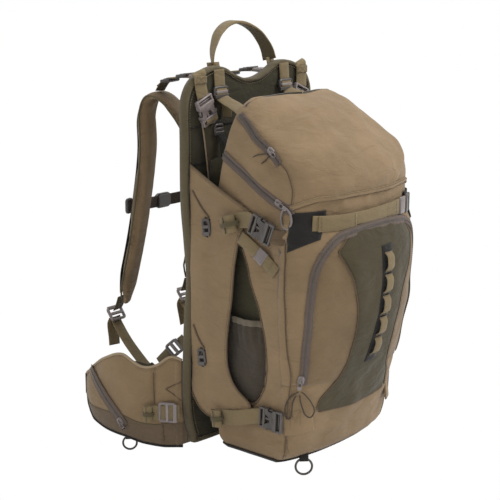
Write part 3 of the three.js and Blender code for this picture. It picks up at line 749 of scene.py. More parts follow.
def leaf_panel():
    v = np.linspace(0, 1, 96)[:, None]
    u = np.linspace(-1, 1, 34)[None]
    z = 88 + v * (376 - 88)
    x = u * np.minimum(leaf_half(z), door_half(z) - 3)
    z = z + dome(x) * fade(z, 340, 376) - 4 * (1 - u ** 2) * (1 - fade(z, 88, 130))
    edge = 1 - np.abs(u) ** 12
    p, _ = skin(q_front(x, z), z, door_lift(x, z) + 0.5 + 0.9 * edge)
    verts, faces, _ = slab(p, 1.4)
    made = piece("leaf_panel", verts, faces, OLIVE, body=None, slot="olive_fabric")
    on_door(made)
    foot = np.linspace(-0.97, 0.97, 60)
    zz = 89 - 4 * (1 - foot ** 2)
    p, n = skin(q_front(foot * 84, zz), zz, 1.9)
    piece("leaf_piping_foot", *sweep(p, across_of(p, n), round_section(0.9)), BROWN)
    for side, name in SIDES:
        zz = np.linspace(92, 372, 80)
        xx = side * np.minimum(leaf_half(zz), door_half(zz) - 3)
        p, n = skin(q_front(xx, zz), zz, door_lift(xx, zz) + 1.1)
        p = smooth_rows(smooth_rows(p))
        across = across_of(p, n)
        piping = piece(f"leaf_piping_{name}", *sweep(p, across, round_section(0.9)), BROWN, body=None)
        on_door(piping)
        seam = piece(f"leaf_stitches_{name}", *stitches(p + across * side * -3.2 + n * 0.6, n), THREAD,
                     body=None)
        on_door(seam)


def front_rim():
    """Fixed cloth between the door's zip and the side seams."""
    edge = door_edge(110)
    inner_q = q_front(edge[:, 0], edge[:, 1])
    seam_z = np.linspace(DOOR_FOOT, POCKET_TOP + 3, 30)
    left = np.stack((q_side(SEAM_Y, seam_z), seam_z), 1)
    top = np.stack((np.linspace(left[-1, 0], 0, 24)[1:], np.full(23, POCKET_TOP + 3)), 1)
    outer = np.vstack((left, top))
    outer = smooth_path(np.vstack((outer, [(-a, b) for a, b in outer[-2::-1]])), len(edge))
    w = np.linspace(0, 1, 12)[:, None]
    q = inner_q[None] * (1 - w) + outer[None, :, 0] * w
    z = edge[None, :, 1] * (1 - w) + outer[None, :, 1] * w
    p, _ = skin(q, z, 0.8)
    verts, faces, tags = slab(p, 2.4)
    piece("front_rim", verts, faces, (TAN, LINING), replaces=("pocket_rim",),
          picks=lined(tags))


def front_low():
    z = np.linspace(9, DOOR_FOOT + 1, 36)[:, None]
    reach = q_side(SEAM_Y, z)
    q = np.linspace(-1, 1, 84)[None] * np.abs(reach)
    p, _ = skin(q, z, 0.9 - 1.3 * fade(z + 0 * q, DOOR_FOOT - 16, DOOR_FOOT + 1))
    verts, faces, tags = slab(p, 2.4)
    piece("front_low_panel", verts, faces, (TAN, LINING), picks=lined(tags))


# ---- seams, piping, zips ------------------------------------------------------------------------
def seam(name, points, body="pack", count=80, piping=1.0, lift=0.4):
    """A piped seam with a row of stitches beside it."""
    p, n, across = along_skin(points, count, lift)
    piece(f"{name}_line", *sweep(p, across, round_section(piping, 6)), BROWN, body)
    piece(f"{name}_stitches", *stitches(p + across * 3.0 + n * 0.4, n), THREAD, body)


def coil(p, n, across, width=3.4, pitch=1.7):
    """Zip teeth: short bars across the path."""
    step = np.r_[0, np.cumsum(np.linalg.norm(np.diff(p, axis=0), axis=1))]
    parts = []
    for k in range(int(step[-1] / pitch)):
        at = (k + 0.5) * pitch
        c, m, s = ([np.interp(at, step, field[:, i]) for i in range(3)] for field in (p, n, across))
        c, m, s = np.array(c), unit(m), unit(s)
        f = np.cross(s, m)
        corners = [c + s * a * width / 2 + f * b * 0.5 + m * d for d in (0, 0.9) for a, b in
                   ((-1, -1), (1, -1), (1, 1), (-1, 1))]
        parts.append((np.array(corners), [(0, 3, 2, 1), (4, 5, 6, 7), (0, 1, 5, 4), (1, 2, 6, 5),
                                          (2, 3, 7, 6),
                                          (3, 0, 4, 7)]))
    return joined(parts)


def zip_tape(name, p, n, across, width, bodies):
    """Two half tapes, each with its teeth; bodies are those of the first side and of the other."""
    half = width / 2
    for k, (sign, body) in enumerate(zip((1, -1), bodies)):
        section = [(0.3, 0.0), (half - 0.6, -0.5), (half, -0.3), (half, 0.5), (half - 0.8, 0.8), (1.4, 0.7),
                   (0.3, 0.9)]
        section = [(sign * u, v) for u, v in section]
        tape = sweep(p, across, section)
        piece(f"{name}_tape_{k}", *tape, TAPE, body, slot="pad_fabric")
        teeth = coil(p + n * 0.7 + across * sign * 0.75, n, across, 1.5)
        piece(f"{name}_coil_{k}", *teeth, COIL, body, slot="black_plastic", smooth=False)
        row = stitches(p + across * sign * (half - 1.2) + n * 0.8, n, radius=0.3)
        piece(f"{name}_stitches_{k}", *row, THREAD, body)


def pocket_zip():
    edge = door_edge(170)
    p, n = skin(q_front(edge[:, 0], edge[:, 1]), edge[:, 1], 1.8)
    p = smooth_rows(smooth_rows(p))
    across = across_of(p, n)
    zip_tape("pocket_zip", p, n, across, 14.0, ("pack", "pocket_door"))


def rim_zip():
    """The zip between lid and bag, from each rear corner down to the front corner."""
    for side, name in SIDES:
        y = np.linspace(30, -112, 90)
        z = rim_line(y)
        q = q_side(y, z, side)
        p, n = skin(q, z, 2.2)
        p = smooth_rows(smooth_rows(p))
        across = across_of(p, n) * side
        zip_tape(f"{name}_rim_zip", p, n, across, 15.0, ("lid", "pack"))


LID_ZIP_LINE = ((14, 546), (-9, 533), (-35, 515), (-58, 501), (-74, 490), (-84, 481))


def lid_zips():
    for side, name in SIDES:
        line = smooth_path(LID_ZIP_LINE, 60)
        q = q_side(line[:, 0], line[:, 1], side)
        p, n = skin(q, line[:, 1], 2.6)
        p = smooth_rows(smooth_rows(p))
        across = across_of(p, n) * side
        zip_tape(f"{name}_lid_zip", p, n, across, 14.0, ("lid", "lid"))
        corner = [(-84, 482), (-96, 474), (-106, 456), (-110, 440), (-109, 422)]
        points = [(float(q_side(y, z, side)), z) for y, z in corner]
        seam(f"{name}_lid_corner", points, "lid", 40, piping=1.0, lift=1.4)


def front_overlap():
    """The lid's lower front hem, a rolled edge over the seam."""
    q = np.linspace(-0.93, 0.93, 110)
    z = rim_height(q) + 2.0
    p, n = skin(q, z, 2.0)
    p = smooth_rows(smooth_rows(p))
    across = across_of(p, n)
    piece("lid_front_hem", *sweep(p, across, flat_section(7, 2.2)), TAN, "lid")
    piece("lid_front_hem_stitches", *stitches(p + across * 2.2 + n * 1.2, n), THREAD, "lid")


def bag_seams():
    for side, name in SIDES:
        line = [(float(q_side(y, z, side)), z) for y,
                z in ((-103, 372), (-104, 302), (-106, 248), (-105, 201),
                                                            (-108, 160))]
        line += [(line[-1][0] * share, z) for share, z in ((0.985, 132), (0.975, 77), (0.97, 14))]
        seam(f"{name}_side", line, count=110, piping=0.9, lift=1.6)
        window = [(float(q_side(y - 3, z, side)), z) for z, y in WINDOW[:-1]]
        seam(f"{name}_window", window, count=90, piping=1.1)
    q = np.linspace(-2.1, 2.1, 180)
    p, n = skin(q, np.full(q.shape, 4.0), 1.0)
    across = across_of(p, n)
    piece("base_binding", *sweep(p, across, flat_section(9, 2.4)), BLACK_WEB, slot="dark_webbing")
    piece("base_binding_stitches", *stitches(p + across * 3 + n * 1.2, n), THREAD)


bag_shell()
lid_hood()
door_skin()
leaf_panel()
front_rim()
front_low()
pocket_zip()
rim_zip()
lid_zips()
front_overlap()
bag_seams()


# ---- moulded hardware ---------------------------------------------------------------------------
def chamfer_box(low, high, edge=0.7):
    """Box with its edges cut back."""
    low, high = np.array(low, float), np.array(high, float)
    edge = min(edge, *((high - low) * 0.35))
    points = []
    for sx in (0, 1):
        for sy in (0, 1):
            for sz in (0, 1):
                corner = np.where((sx, sy, sz), high, low)
                into = np.where((sx, sy, sz), -1, 1) * edge
                for axis in range(3):
                    point = corner + into
                    point[axis] = corner[axis]
                    points.append(point)
    work = bmesh.new()
    for point in points:
        work.verts.new(point)
    bmesh.ops.convex_hull(work, input=work.verts)
    work.verts.index_update()
    verts = np.array([v.co for v in work.verts])
    faces = [tuple(v.index for v in f.verts) for f in work.faces]
    work.free()
    return verts, faces


def prism(outline, low, high, edge=0.6):
    """Plate with the outline (x, y), from low to high in z, its edges cut back."""
    flat = np.asarray(outline, float)
    before, after = unit(flat - np.roll(flat, 1, 0)), unit(np.roll(flat, -1, 0) - flat)
    inward = unit(np.stack((-(before + after)[:, 1], (before + after)[:, 0]), 1))
    area = np.sum(flat[:, 0] * np.roll(flat[:, 1], -1) - np.roll(flat[:, 0], -1) * flat[:, 1])
    inward = inward * (1 if area > 0 else -1)
    rings = [(edge, low), (0, low + edge), (0, high - edge), (edge, high)]
    verts = np.vstack([np.column_stack((flat + inward * inset, np.full(len(flat), z))) for inset, z in rings])
    n = len(flat)
    faces = [tuple(range(n))[::-1], tuple(range(3 * n, 4 * n))]
    for r in range(3):
        faces += [(r * n + k, r * n + (k + 1) % n, (r + 1) * n + (k + 1) % n,
                   (r + 1) * n + k) for k in range(n)]
    return verts, faces


def frame_loop(half_x, half_y, radius, width, thick):
    """Flat closed frame with rounded corners, such as the body of a ladder lock."""
    path = []
    for k, (sx, sy) in enumerate(((1, 1), (-1, 1), (-1, -1), (1, -1))):
        for t in np.linspace(0, 1, 5):
            angle = (k + t) * PI / 2
            path.append((sx * (half_x - radius) + radius * math.cos(angle),
                         sy * (half_y - radius) + radius * math.sin(angle), 0))
    return sweep(path, (0, 0, 1), flat_section(thick, width), closed=True)


def set_at(part, centre, along, out):
    """Moves (verts, faces) made along +Y with its face to +Z to a place and direction."""
    along = unit(along)
    out = np.asarray(out, float)
    out = unit(out - along * np.dot(out, along))
    wide = np.cross(along, out)
    verts, faces = part
    return np.asarray(verts) @ np.stack((wide, along, out)) + np.asarray(centre, float), faces


def on_side(side, point):
    return (point[0] * -side, point[1], point[2])


def mirrored(side, *points):
    """The same points or directions on the given side; they are written for the left."""
    return [on_side(side, point) for point in points]


def moulded(name, part, finish, body="pack", replaces=()):
    """A hard plastic piece with crisp edges."""
    return piece(name, *part, finish, body, "grey_plastic" if finish is MAUVE else "black_plastic", replaces,
                 crease=40)


def buckle_socket():
    plate = [(-17.5, -1), (-16, 0.3), (-8.5, 0.3), (-3.2, -9), (3.2, -9), (8.5, 0.3), (16, 0.3), (17.5, -1),
             (17.8, -4.5), (14.2, -6.5), (13.6, -13.5), (16.8, -16), (17.2, -21), (-17.2, -21), (-16.8, -16),
             (-13.6, -13.5), (-14.2, -6.5), (-17.8, -4.5)]
    under = [(-17.5, -1), (-16, 0.3), (16, 0.3), (17.5, -1), (17.8, -4.5), (14.2, -6.5), (13.6, -13.5),
             (16.8, -16),
             (17.2, -21), (-17.2, -21), (-16.8, -16), (-13.6, -13.5), (-14.2, -6.5), (-17.8, -4.5)]
    parts = [prism(plate, 2.9, 4.9), prism(under, -4.7, -2.9),
             chamfer_box((-17, -22, -4.6), (17, -19.6, 4.8))]
    for side in (-1, 1):
        x = sorted((side * 14.6, side * 17.6))
        parts.append(chamfer_box((x[0], -4.6, -4.4), (x[1], 0.2, 4.4)))
        x = sorted((side * 14.2, side * 17.0))
        parts.append(chamfer_box((x[0], -21, -4.4), (x[1], -15.6, 4.4)))
        parts.append(chamfer_box((side * 15.9 - 1.8, -31, -3.6), (side * 15.9 + 1.8, -20.5, 3.6)))
    parts.append(chamfer_box((-17, -31.5, -3.4), (17, -28.4, 3.4), 1.2))
    parts.append(chamfer_box((-15, -25.6, -3.0), (15, -23.4, 0.6), 0.8))
    for y in (-17.5, -15.5, -13.5):
        parts.append(chamfer_box((-5, y - 0.4, 4.7), (5, y + 0.4, 5.3), 0.2))
    return joined(parts)


def buckle_plug():
    parts = [chamfer_box((-17, 0.8, -4.2), (17, 5.4, 4.2), 1.1),
             chamfer_box((-16.6, 10.2, -3.6), (16.6, 13.2, 3.6), 1.2),
             chamfer_box((-2.2, -17, -1.6), (2.2, 1.5, 1.6))]
    for side in (-1, 1):
        x = sorted((side * 13.6, side * 17.0))
        parts.append(chamfer_box((x[0], 4.6, -3.8), (x[1], 12.6, 3.8), 1.0))
        arm = [(side * 9.6, 1, 0), (side * 11.6, -4, 0), (side * 15.4, -8, 0), (side * 15.6, -12, 0),
               (side * 12.4, -16.5, 0), (side * 10.6, -19.4, 0)]
        parts.append(sweep(smooth_path(arm, 16), (0, 0, 1), flat_section(4.6, 2.6)))
    return joined(parts)


# Left side buckles: middle, the way the plug pulls out, and the way the face looks.
BUCKLES = {
    "top": ((-110.5, 85, 537), (0.379, 0, -0.926), (0, -1, 0)),
    "upper": ((-156, -55, 386), (0, 0.93, 0.36), (-1, 0, 0)),
    "lower": ((-141, -62, 80), (0, 1, 0.05), (-1, 0, 0))}


def side_release_buckles():
    for side, name in SIDES:
        for where, (centre, pull, out) in BUCKLES.items():
            place = mirrored(side, centre, pull, out)
            finish = MAUVE if where == "top" else BLACK
            buckle = f"{name}_{where}_buckle"
            moulded(f"{buckle}_body", set_at(buckle_socket(), *place), finish, "pack", (f"{buckle}_socket",))
            moulded(f"{buckle}_prongs", set_at(buckle_plug(), *place), finish, f"{buckle}_plug",
                    (f"{buckle}_plug",))


def ladder_lock(width, length):
    half_x, half_y = width / 2, length / 2
    parts = [frame_loop(half_x - 2.2, half_y - 2.2, 3.4, 4.6, 5.6)]
    parts.append(chamfer_box((-half_x + 2, -2.6, -0.6), (half_x - 2, 2.6, 3.8), 1.0))
    parts.append(sweep([(-half_x + 1.5, -half_y + 2.0, 2.4), (half_x - 1.5, -half_y + 2.0, 2.4)], (0, 1, 0),
                       flat_section(6.4, 3.2)))
    return joined(parts)


# Left ladder locks: name, CAD node, width, length, middle, direction of its webbing, face and finish.
LADDER_LOCKS = (
    ("lid_lock", "lid_ladder_lock", 34, 18, (-80, 86, 572), (0, 0, 1), (0, -1, 0), BLACK),
    ("adjuster", "strap_adjuster", 34, 26, (-88, 330, 166), (0, -0.6, -0.8), (0, -0.8, 0.6), MAUVE),
    ("lifter_lock", "lifter_buckle", 30, 22, (-75, 203, 582), (0, 1, -0.2), (0, 0.2, 1), BLACK),
    ("belt_lock", "belt_ladder_lock", 34, 30, (-173.1, 122.3, 54), (-0.51, 0.86, 0), (-0.86, -0.51, 0),
     MAUVE))


def ladder_locks():
    for side, name in SIDES:
        for label, cad, width, length, centre, along, out, finish in LADDER_LOCKS:
            place = mirrored(side, centre, along, out)
            if label == "lid_lock":
                moulded(f"{name}_lid_lock_bar", set_at(chamfer_box((-13, -2.2, 2.6), (13, 2.2, 4.6), 0.9),
                                                       *place),
                        MAUVE)
            body = f"{name}_hip_belt" if label == "belt_lock" else "pack"
            moulded(f"{name}_{label}_body", set_at(ladder_lock(width, length), *place), finish, body,
                    (f"{name}_{cad}",))


def torus(radius, wire):
    around = [(radius * math.cos(2 * PI * k / 48), radius * math.sin(2 * PI * k / 48), 0) for k in range(48)]
    return sweep(around, (0, 0, 1), round_section(wire, 12), closed=True)


def rings():
    base = set_at(torus(13.2, 1.8), (-84, -92, -9.7), (0, 0, 1), (-0.707, -0.707, 0))
    piece("base_ring_wire", *base, BLACK, "base_ring", slot="black_plastic", replaces=("base_ring",))
    hang_loop("base_ring_tab", (-84, -92, 4), (0.707, -0.707, 0), "pack")
    for side, name in SIDES:
        centre, out = on_side(side, (-182, 203, -16)), on_side(side, (-1, -1, 0))
        piece(f"{name}_belt_ring_wire", *set_at(torus(11.5, 1.7), centre, (0, 0, 1), out), BLACK,
              f"{name}_belt_ring", slot="black_plastic", replaces=(f"{name}_belt_ring",))
        hang_loop(f"{name}_belt_ring_tab", (centre[0], centre[1], -4.5), on_side(side, (0.707, -0.707, 0)),
                  f"{name}_hip_belt")


def hang_loop(name, top, wide, body):
    """Short webbing tab folded round a ring."""
    x, y, z = top
    out = unit(np.cross(wide, (0, 0, 1))) * 3.2
    path = [np.array((x, y, z + 8)) + out * 0.9, np.array((x, y, z + 2)) + out,
            np.array((x, y, z - 4)) + out * 0.4,
            np.array((x, y, z - 4)) - out * 0.4, np.array((x, y, z + 2)) - out,
            np.array((x, y, z + 8)) - out * 0.9]
    piece(name, *sweep(smooth_path(path, 20), wide, flat_section(14, 1.4)), BLACK_WEB, body,
          slot="dark_webbing")


def slider_body(tab):
    outline = [(-4.6, -6), (-5.2, -2), (-5.0, 3), (-3.2, 6.4), (3.2, 6.4), (5.0, 3), (5.2, -2), (4.6, -6),
               (0, -5)]
    parts = [prism(outline, 0.1, 1.5), prism(outline, 2.3, 3.6)]
    bridge = smooth_path([(0, -4.6, 3.4), (0, -3.6, 6.0), (0, 0.6, 6.6), (0, 4.2, 3.6)], 14)
    parts.append(sweep(bridge, (1, 0, 0), flat_section(2.6, 1.4)))
    loop = [(0, -1.5, 5.2), (-2.6, -5, 5.0), (-3.0, -9, 4.2), (0, -12, 3.8), (3.0, -9, 4.2), (2.6, -5, 5.0)]
    parts.append(tube(loop, 0.75, closed=True, count=36))
    if tab > 5:
        pull = [(-2.6, -10.5), (2.6, -10.5), (3.6, -14), (3.4, -6 - tab), (2, -8 - tab), (-2, -8 - tab),
                (-3.4, -6 - tab), (-3.6, -14)]
        parts.append(prism(pull, 2.6, 4.6, 0.5))
    return joined(parts)


def zip_sliders():
    place = ((-127.5, -120, 152), (-0.05, -0.21, 0.977), (-0.9, -0.43, 0))
    moulded("pocket_slider_body", set_at(slider_body(9), *place), MAUVE, "pocket_zip_slider",
            ("pocket_zip_slider",))
    for side, name in SIDES:
        lid_at = mirrored(side, (-135.4, -66, 499), (0, 0.796, 0.605), (-1, 0, 0.1))
        rim_at = mirrored(side, (-143.4, -88, 424.5), (0, 0.8932, 0.4497), (-1, 0, 0))
        lid_slider, rim_slider = f"{name}_lid_zip_slider", f"{name}_main_zip_slider"
        moulded(f"{name}_lid_slider_body", set_at(slider_body(1), *lid_at), MAUVE, lid_slider, (lid_slider,))
        moulded(f"{name}_rim_slider_body", set_at(slider_body(10), *rim_at), MAUVE, rim_slider, (rim_slider,))
        ring = mirrored(side, (-147, -103, 419), (-147, -112, 411), (-147, -114, 398), (-147, -108, 388),
                        (-147, -98, 390), (-147, -94, 402), (-147, -97, 413))
        piece(f"{name}_rim_pull_ring", *tube(ring, 1.7, 10, closed=True, count=48), MAUVE, rim_slider,
              slot="grey_plastic")


side_release_buckles()
ladder_locks()
rings()
zip_sliders()


# ---- webbing ------------------------------------------------------------------------------------
def webbing(name, route, width, across, material=KHAKI, body="pack", thick=1.7, slot="webbing", replaces=(),
            count=None):
    """Woven tape along a smooth route."""
    path = smooth_path(route, count or max(12, 5 * len(route)))
    verts, faces = sweep(path, across, flat_section(width, thick))
    made = piece(name, verts, faces, material, body, slot=slot, replaces=replaces)
    return made, path


def box_stitch(name, centre, along, wide, out, length, width):
    """A stitched rectangle with its two diagonals."""
    centre, along, wide, out = (np.asarray(v, float) for v in (centre, along, wide, out))
    a, b = unit(along) * length / 2, unit(wide) * width / 2
    corners = [centre + a + b, centre - a + b, centre - a - b, centre + a - b]
    lines = [(corners[k], corners[(k + 1) % 4]) for k in range(4)] + [(corners[0], corners[2]),
                                                                      (corners[1], corners[3])]
    rows = [stitches(np.linspace(s, e, 8), out, 2.6, 1.9, 0.3) for s, e in lines]
    piece(name, *joined(rows), THREAD)


def rolled_end(name, centre, along, out, width, body="pack", material=KHAKI, turns=2.2, radius=7.5):
    """Spare webbing rolled up and held by an elastic band; the roll's axis lies along the width."""
    t = np.linspace(0.25, turns, 60)
    r = radius * (0.3 + 0.7 * t / turns)
    path = np.stack((np.zeros_like(t), r * np.cos(t * 2 * PI) * 1.35, r * np.sin(t * 2 * PI) * 0.75), 1)
    roll = sweep(path, (1, 0, 0), flat_section(width, 1.5))
    piece(name, *set_at(roll, centre, along, out), material, body, slot="webbing")
    s = np.linspace(0, 1, 30, endpoint=False) * 2 * PI
    grow = radius * 1.12
    band = np.stack((np.zeros_like(s), grow * 1.35 * np.cos(s), grow * 0.82 * np.sin(s)), 1)
    loop = sweep(band, (1, 0, 0), flat_section(7, 1.2), closed=True)
    piece(f"{name}_elastic", *set_at(loop, centre, along, out), OLIVE_WEB, body, slot="webbing")


def upper_side_strap(side, name):
    """Compression strap at the lid's corner: bag corner, buckle, and a roll on the wing."""
    front = mirrored(side, (-156.5, -83, 376), (-155, -90, 374), (-149, -99, 373), (-139, -116, 374))
    webbing(f"{name}_upper_strap_front", front, 23, (0, -0.2, 1), BROWN, thick=2.2)
    route = mirrored(side, (-156, -43, 391.5), (-154, -36, 393), (-152.4, -26, 392), (-151.6, -8, 388),
                     (-151.2, 10, 383))
    rear, _ = webbing(f"{name}_upper_strap_rear", route, 25, (0, -0.3, 1), body=None)
    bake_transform(rear)
    rolled_end(f"{name}_upper_roll", on_side(side, (-160.5, -3, 383)), (0, 0.95, -0.3), (side, 0, 0), 27,
               radius=11.0)


def middle_side_strap(side, name):
    """Diagonal strap under the upper one, with its grey keeper."""
    across = (0, 0.55, 0.83)
    strap = mirrored(side, (-150.4, -16, 364), (-149.4, -36, 352), (-148.6, -57, 339), (-148.3, -74, 327),
                     (-147.8, -86, 318))
    keeper = mirrored(side, (-149.4, -50, 343.6), (-149.3, -57, 338.8), (-149.0, -64, 334))
    end = mirrored(side, (-149.6, -78, 324.6), (-149.6, -87, 318))
    webbing(f"{name}_middle_strap", strap, 21, across, thick=2.2)
    webbing(f"{name}_middle_keeper", keeper, 23.5, across, MAUVE, thick=3.6, slot="grey_plastic")
    webbing(f"{name}_middle_end", end, 22.5, across, thick=3.2)


def lower_side_strap(side, name):
    """Compression strap at the foot: anchor tab, buckle, webbing to the wing, and a roll."""
    spots = np.array(((-90, 78.5), (-98, 80), (-107, 82), (-115, 84)))
    tab, tab_out = skin(q_side(spots[:, 0], spots[:, 1], side), spots[:, 1], np.array((2.2, 2.0, 1.8, 1.6)))
    webbing(f"{name}_lower_tab", tab, 44, (0, 0.1, 1), TAN, thick=3.0)
    middle = (tab[1] + tab[2]) / 2 + tab_out[1] * 2.0
    box_stitch(f"{name}_lower_tab_stitches", middle, tab[2] - tab[1], (0, 0, 1), tab_out[1], 16, 34)
    route = mirrored(side, (-141, -51, 80.5), (-142.5, -42, 79), (-147, -26, 75), (-150.6, -8, 70),
                     (-151, 18, 65),
                     (-151, 36, 62))
    lower, _ = webbing(f"{name}_lower_strap", route, 25, (0, -0.1, 1), body=None)
    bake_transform(lower)
    rolled_end(f"{name}_lower_roll", on_side(side, (-158, 27, 63)), (0, 1, -0.12), (side, 0, 0), 28)


def corner_gusset(side, name):
    """Black gusset at the front corner, under the lid."""
    u = np.linspace(0, 1, 16)[None]
    v = np.linspace(0, 1, 18)[:, None]
    y = (-107 - 3 * v) * (1 - u) + (-144 + 2 * v) * u
    z = (352 + 60 * v) * (1 - u) + (372 + 42 * v) * u
    p, _ = skin(q_side(y, z, side), z, 1.8)
    verts, faces, _ = slab(p, 1.2)
    piece(f"{name}_gusset", verts, faces, BLACK_WEB, slot="dark_webbing")


def side_straps():
    for side, name in SIDES:
        upper_side_strap(side, name)
        middle_side_strap(side, name)
        lower_side_strap(side, name)
        corner_gusset(side, name)


def front_webbing():
    angle = np.linspace(-1.02, 0.98, 90)
    z = 396 + 2 * np.sin(angle * 3)
    q = angle * 2 / PI
    p, n = skin(q, z, 1.0)
    p = p * 0.35 + np.stack((148 * np.sin(angle), -103 - 64.8 * np.cos(angle), z), 1) * 0.65
    p = smooth_rows(smooth_rows(p))
    piece("front_webbing", *sweep(p, (0, 0, 1), flat_section(25, 1.9)), KHAKI, slot="webbing",
          replaces=("front_strap",))
    for name, low, high, width, material, slot_name in (
            ("front_strap_keeper", 66, 73, 27, MAUVE, "grey_plastic"),
            ("front_strap_lock", 76, 81, 30, BLACK, "black_plastic"),
            ("front_strap_lock_bar", 83, 86, 30, BLACK, "black_plastic")):
        piece(name, *sweep(p[low:high] + n[low:high] * 0.8, (0, 0, 1), flat_section(width, 4.6)), material,
              slot=slot_name)
    over = p[4:30] + n[4:30] * 2.0
    piece("front_strap_fold", *sweep(over, (0, 0, 1), flat_section(24, 1.7)), KHAKI, slot="webbing")
    for k in (6, 28, 60):
        rows = stitches(np.stack([p[k] + n[k] * 3.4 + np.array((0, 0, d)) for d in (-11, 0, 11)]), n[k],
                        2.2, 1.7)
        piece(f"front_strap_bartack_{k}", *rows, THREAD)


def daisy_chain():
    z = np.linspace(160, 350, 70)
    x = 3 - 0.00012 * (z - 255) ** 2
    p, n = skin(q_front(x, z), z, door_lift(x, z) + 2.0)
    p = smooth_rows(smooth_rows(p))
    piece("daisy_tape", *sweep(p, (1, 0, 0), flat_section(27, 1.6)), BLACK_WEB, "pocket_door",
          slot="dark_webbing",
          replaces=("daisy_chain",))
    for k in range(5):
        mid = 10 + k * 12.4
        s = np.linspace(-5.2, 5.2, 15)
        rise = 5.2 * np.clip(1 - (s / 4.9) ** 4, 0, 1)
        at = [np.array([np.interp(mid + d, np.arange(70), p[:, i]) for i in range(3)]) for d in s]
        nn = [np.array([np.interp(mid + d, np.arange(70), n[:, i]) for i in range(3)]) for d in s]
        path = np.array([a + m * (1.4 + r) for a, m, r in zip(at, nn, rise)])
        piece(f"daisy_loop_{k + 1}", *sweep(path, (1, 0, 0), flat_section(17, 1.4)), KHAKI, "pocket_door",
              slot="webbing")
        for end in (0, -1):
            cross = np.stack([path[end] + nn[end] * 0.9 + np.array((d, 0, 0)) for d in (-10, 0, 10)])
            row = [stitches(cross + np.array((0, 0, o)), nn[end], 1.9, 1.6) for o in (-1.2, 0.6)]
            piece(f"daisy_bartack_{k + 1}_{'low' if end == 0 else 'high'}", *joined(row), PALE_THREAD,
                  "pocket_door")


def top_strap(side, name):
    """The top buckle's strap from the frame, with its stitched pad."""
    strap = mirrored(side, (-124, 96, 606), (-124.6, 90, 603), (-125, 88.4, 594), (-124, 87, 580),
                     (-121.4, 85.4, 566))
    webbing(f"{name}_top_strap", strap, 25, (0.93, 0, 0.37))
    pad = mirrored(side, (-125.2, 86.8, 599), (-125, 86.6, 588))
    webbing(f"{name}_top_strap_pad", pad, 27, (0.95, 0, 0.2), thick=2.2)
    box_stitch(f"{name}_top_strap_stitches", on_side(side, (-125, 85.2, 594)), (0.1, 0, 1), (1, 0, 0),
               (0, -1, 0),
               14, 20)


def buckle_sleeve(side, name):
    """Sleeve under the top buckle, with its loop and pale piping."""
    loop = mirrored(side, (-107.8, 82.6, 524), (-107.3, 80.4, 530), (-106.9, 83.6, 534), (-107.2, 87.4, 528),
                    (-107.8, 87.6, 520))
    webbing(f"{name}_sleeve_loop", loop, 24, (0.93, 0, 0.37), count=24)
    sleeve = mirrored(side, (-105, 88.0, 523), (-101, 87.6, 500), (-97, 87.2, 470), (-93, 86.6, 438),
                      (-90, 86, 412))
    webbing(f"{name}_sleeve", sleeve, 33, (0.98, 0, 0.12), OLIVE, thick=3.4, slot="olive_fabric")
    edge = [(p[0] + 17 * side, p[1] - 1.0, p[2]) for p in sleeve]
    piece(f"{name}_sleeve_piping", *tube(edge, 1.3), PALE_THREAD)


def lid_straps(side, name):
    """Webbing from the frame through its ladder lock to the lid's rear corner."""
    anchor = mirrored(side, (-80, 89.6, 607), (-80, 88.6, 594), (-80, 87.4, 580))
    low = mirrored(side, (-80, 84.5, 578), (-80, 82.6, 571), (-80.4, 84, 564))
    route = mirrored(side, (-80.4, 83.4, 563), (-85, 66, 558), (-93, 44, 554), (-103, 22, 549),
                     (-110, 8, 543))
    webbing(f"{name}_lid_anchor", anchor, 24, (1, 0, 0))
    webbing(f"{name}_lid_strap_low", low, 24, (1, 0, 0))
    strap, _ = webbing(f"{name}_lid_strap", route, 22, (1, 0, 0.3), body=None)
    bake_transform(strap)


def side_tab(side, name):
    """Tab with a small lock and dark strap between the frame and the bag."""
    tab = mirrored(side, (-72, 90, 543), (-70, 82, 544), (-67, 74, 543))
    strap = mirrored(side, (-88, 86, 528), (-88, 84, 516), (-85, 78, 500), (-82, 66, 484))
    lock = set_at(ladder_lock(22, 17), on_side(side, (-88, 84, 514)), (0, 0, 1), (0, -1, 0))
    webbing(f"{name}_side_tab", tab, 24, (0, 0, 1), thick=2.4)
    moulded(f"{name}_side_tab_lock", lock, BLACK)
    webbing(f"{name}_side_tab_strap", strap, 15, (1, 0, 0), BLACK_WEB, slot="dark_webbing")


def top_webbing():
    for side, name in SIDES:
        top_strap(side, name)
        buckle_sleeve(side, name)
        lid_straps(side, name)
        side_tab(side, name)


side_straps()
front_webbing()
daisy_chain()
top_webbing()


# ---- frame sheet and back panel -----------------------------------------------------------------
FRAME_EDGE = ((152, 75), (148, 193), (141, 274), (146, 341), (152, 407), (152, 500), (152, 549))
FRAME_CROWN = ((0, 584), (0.13, 586), (0.276, 594), (0.434, 606), (0.592, 608), (0.737, 602), (0.88, 590),
               (0.967, 572), (1, 549))
FRAME_FOOT = ((0, 2), (0.776, 2), (0.92, 14), (1, 75))




def frame_half(z):
    z = np.asarray(z, float)
    path = smooth_path(FRAME_EDGE, 60)
    return np.interp(z, path[:, 1], path[:, 0])


def frame_outline(count=300):
    right = [(152 * u, z) for u, z in FRAME_FOOT[1:]] + list(FRAME_EDGE[1:-1]) + [(152 * u, z) for u, z in
                                                                             FRAME_CROWN[::-1]]
    left = [(-x, z) for x, z in right[-2::-1]]
    return smooth_path(right + left, count, closed=True)[:-1]


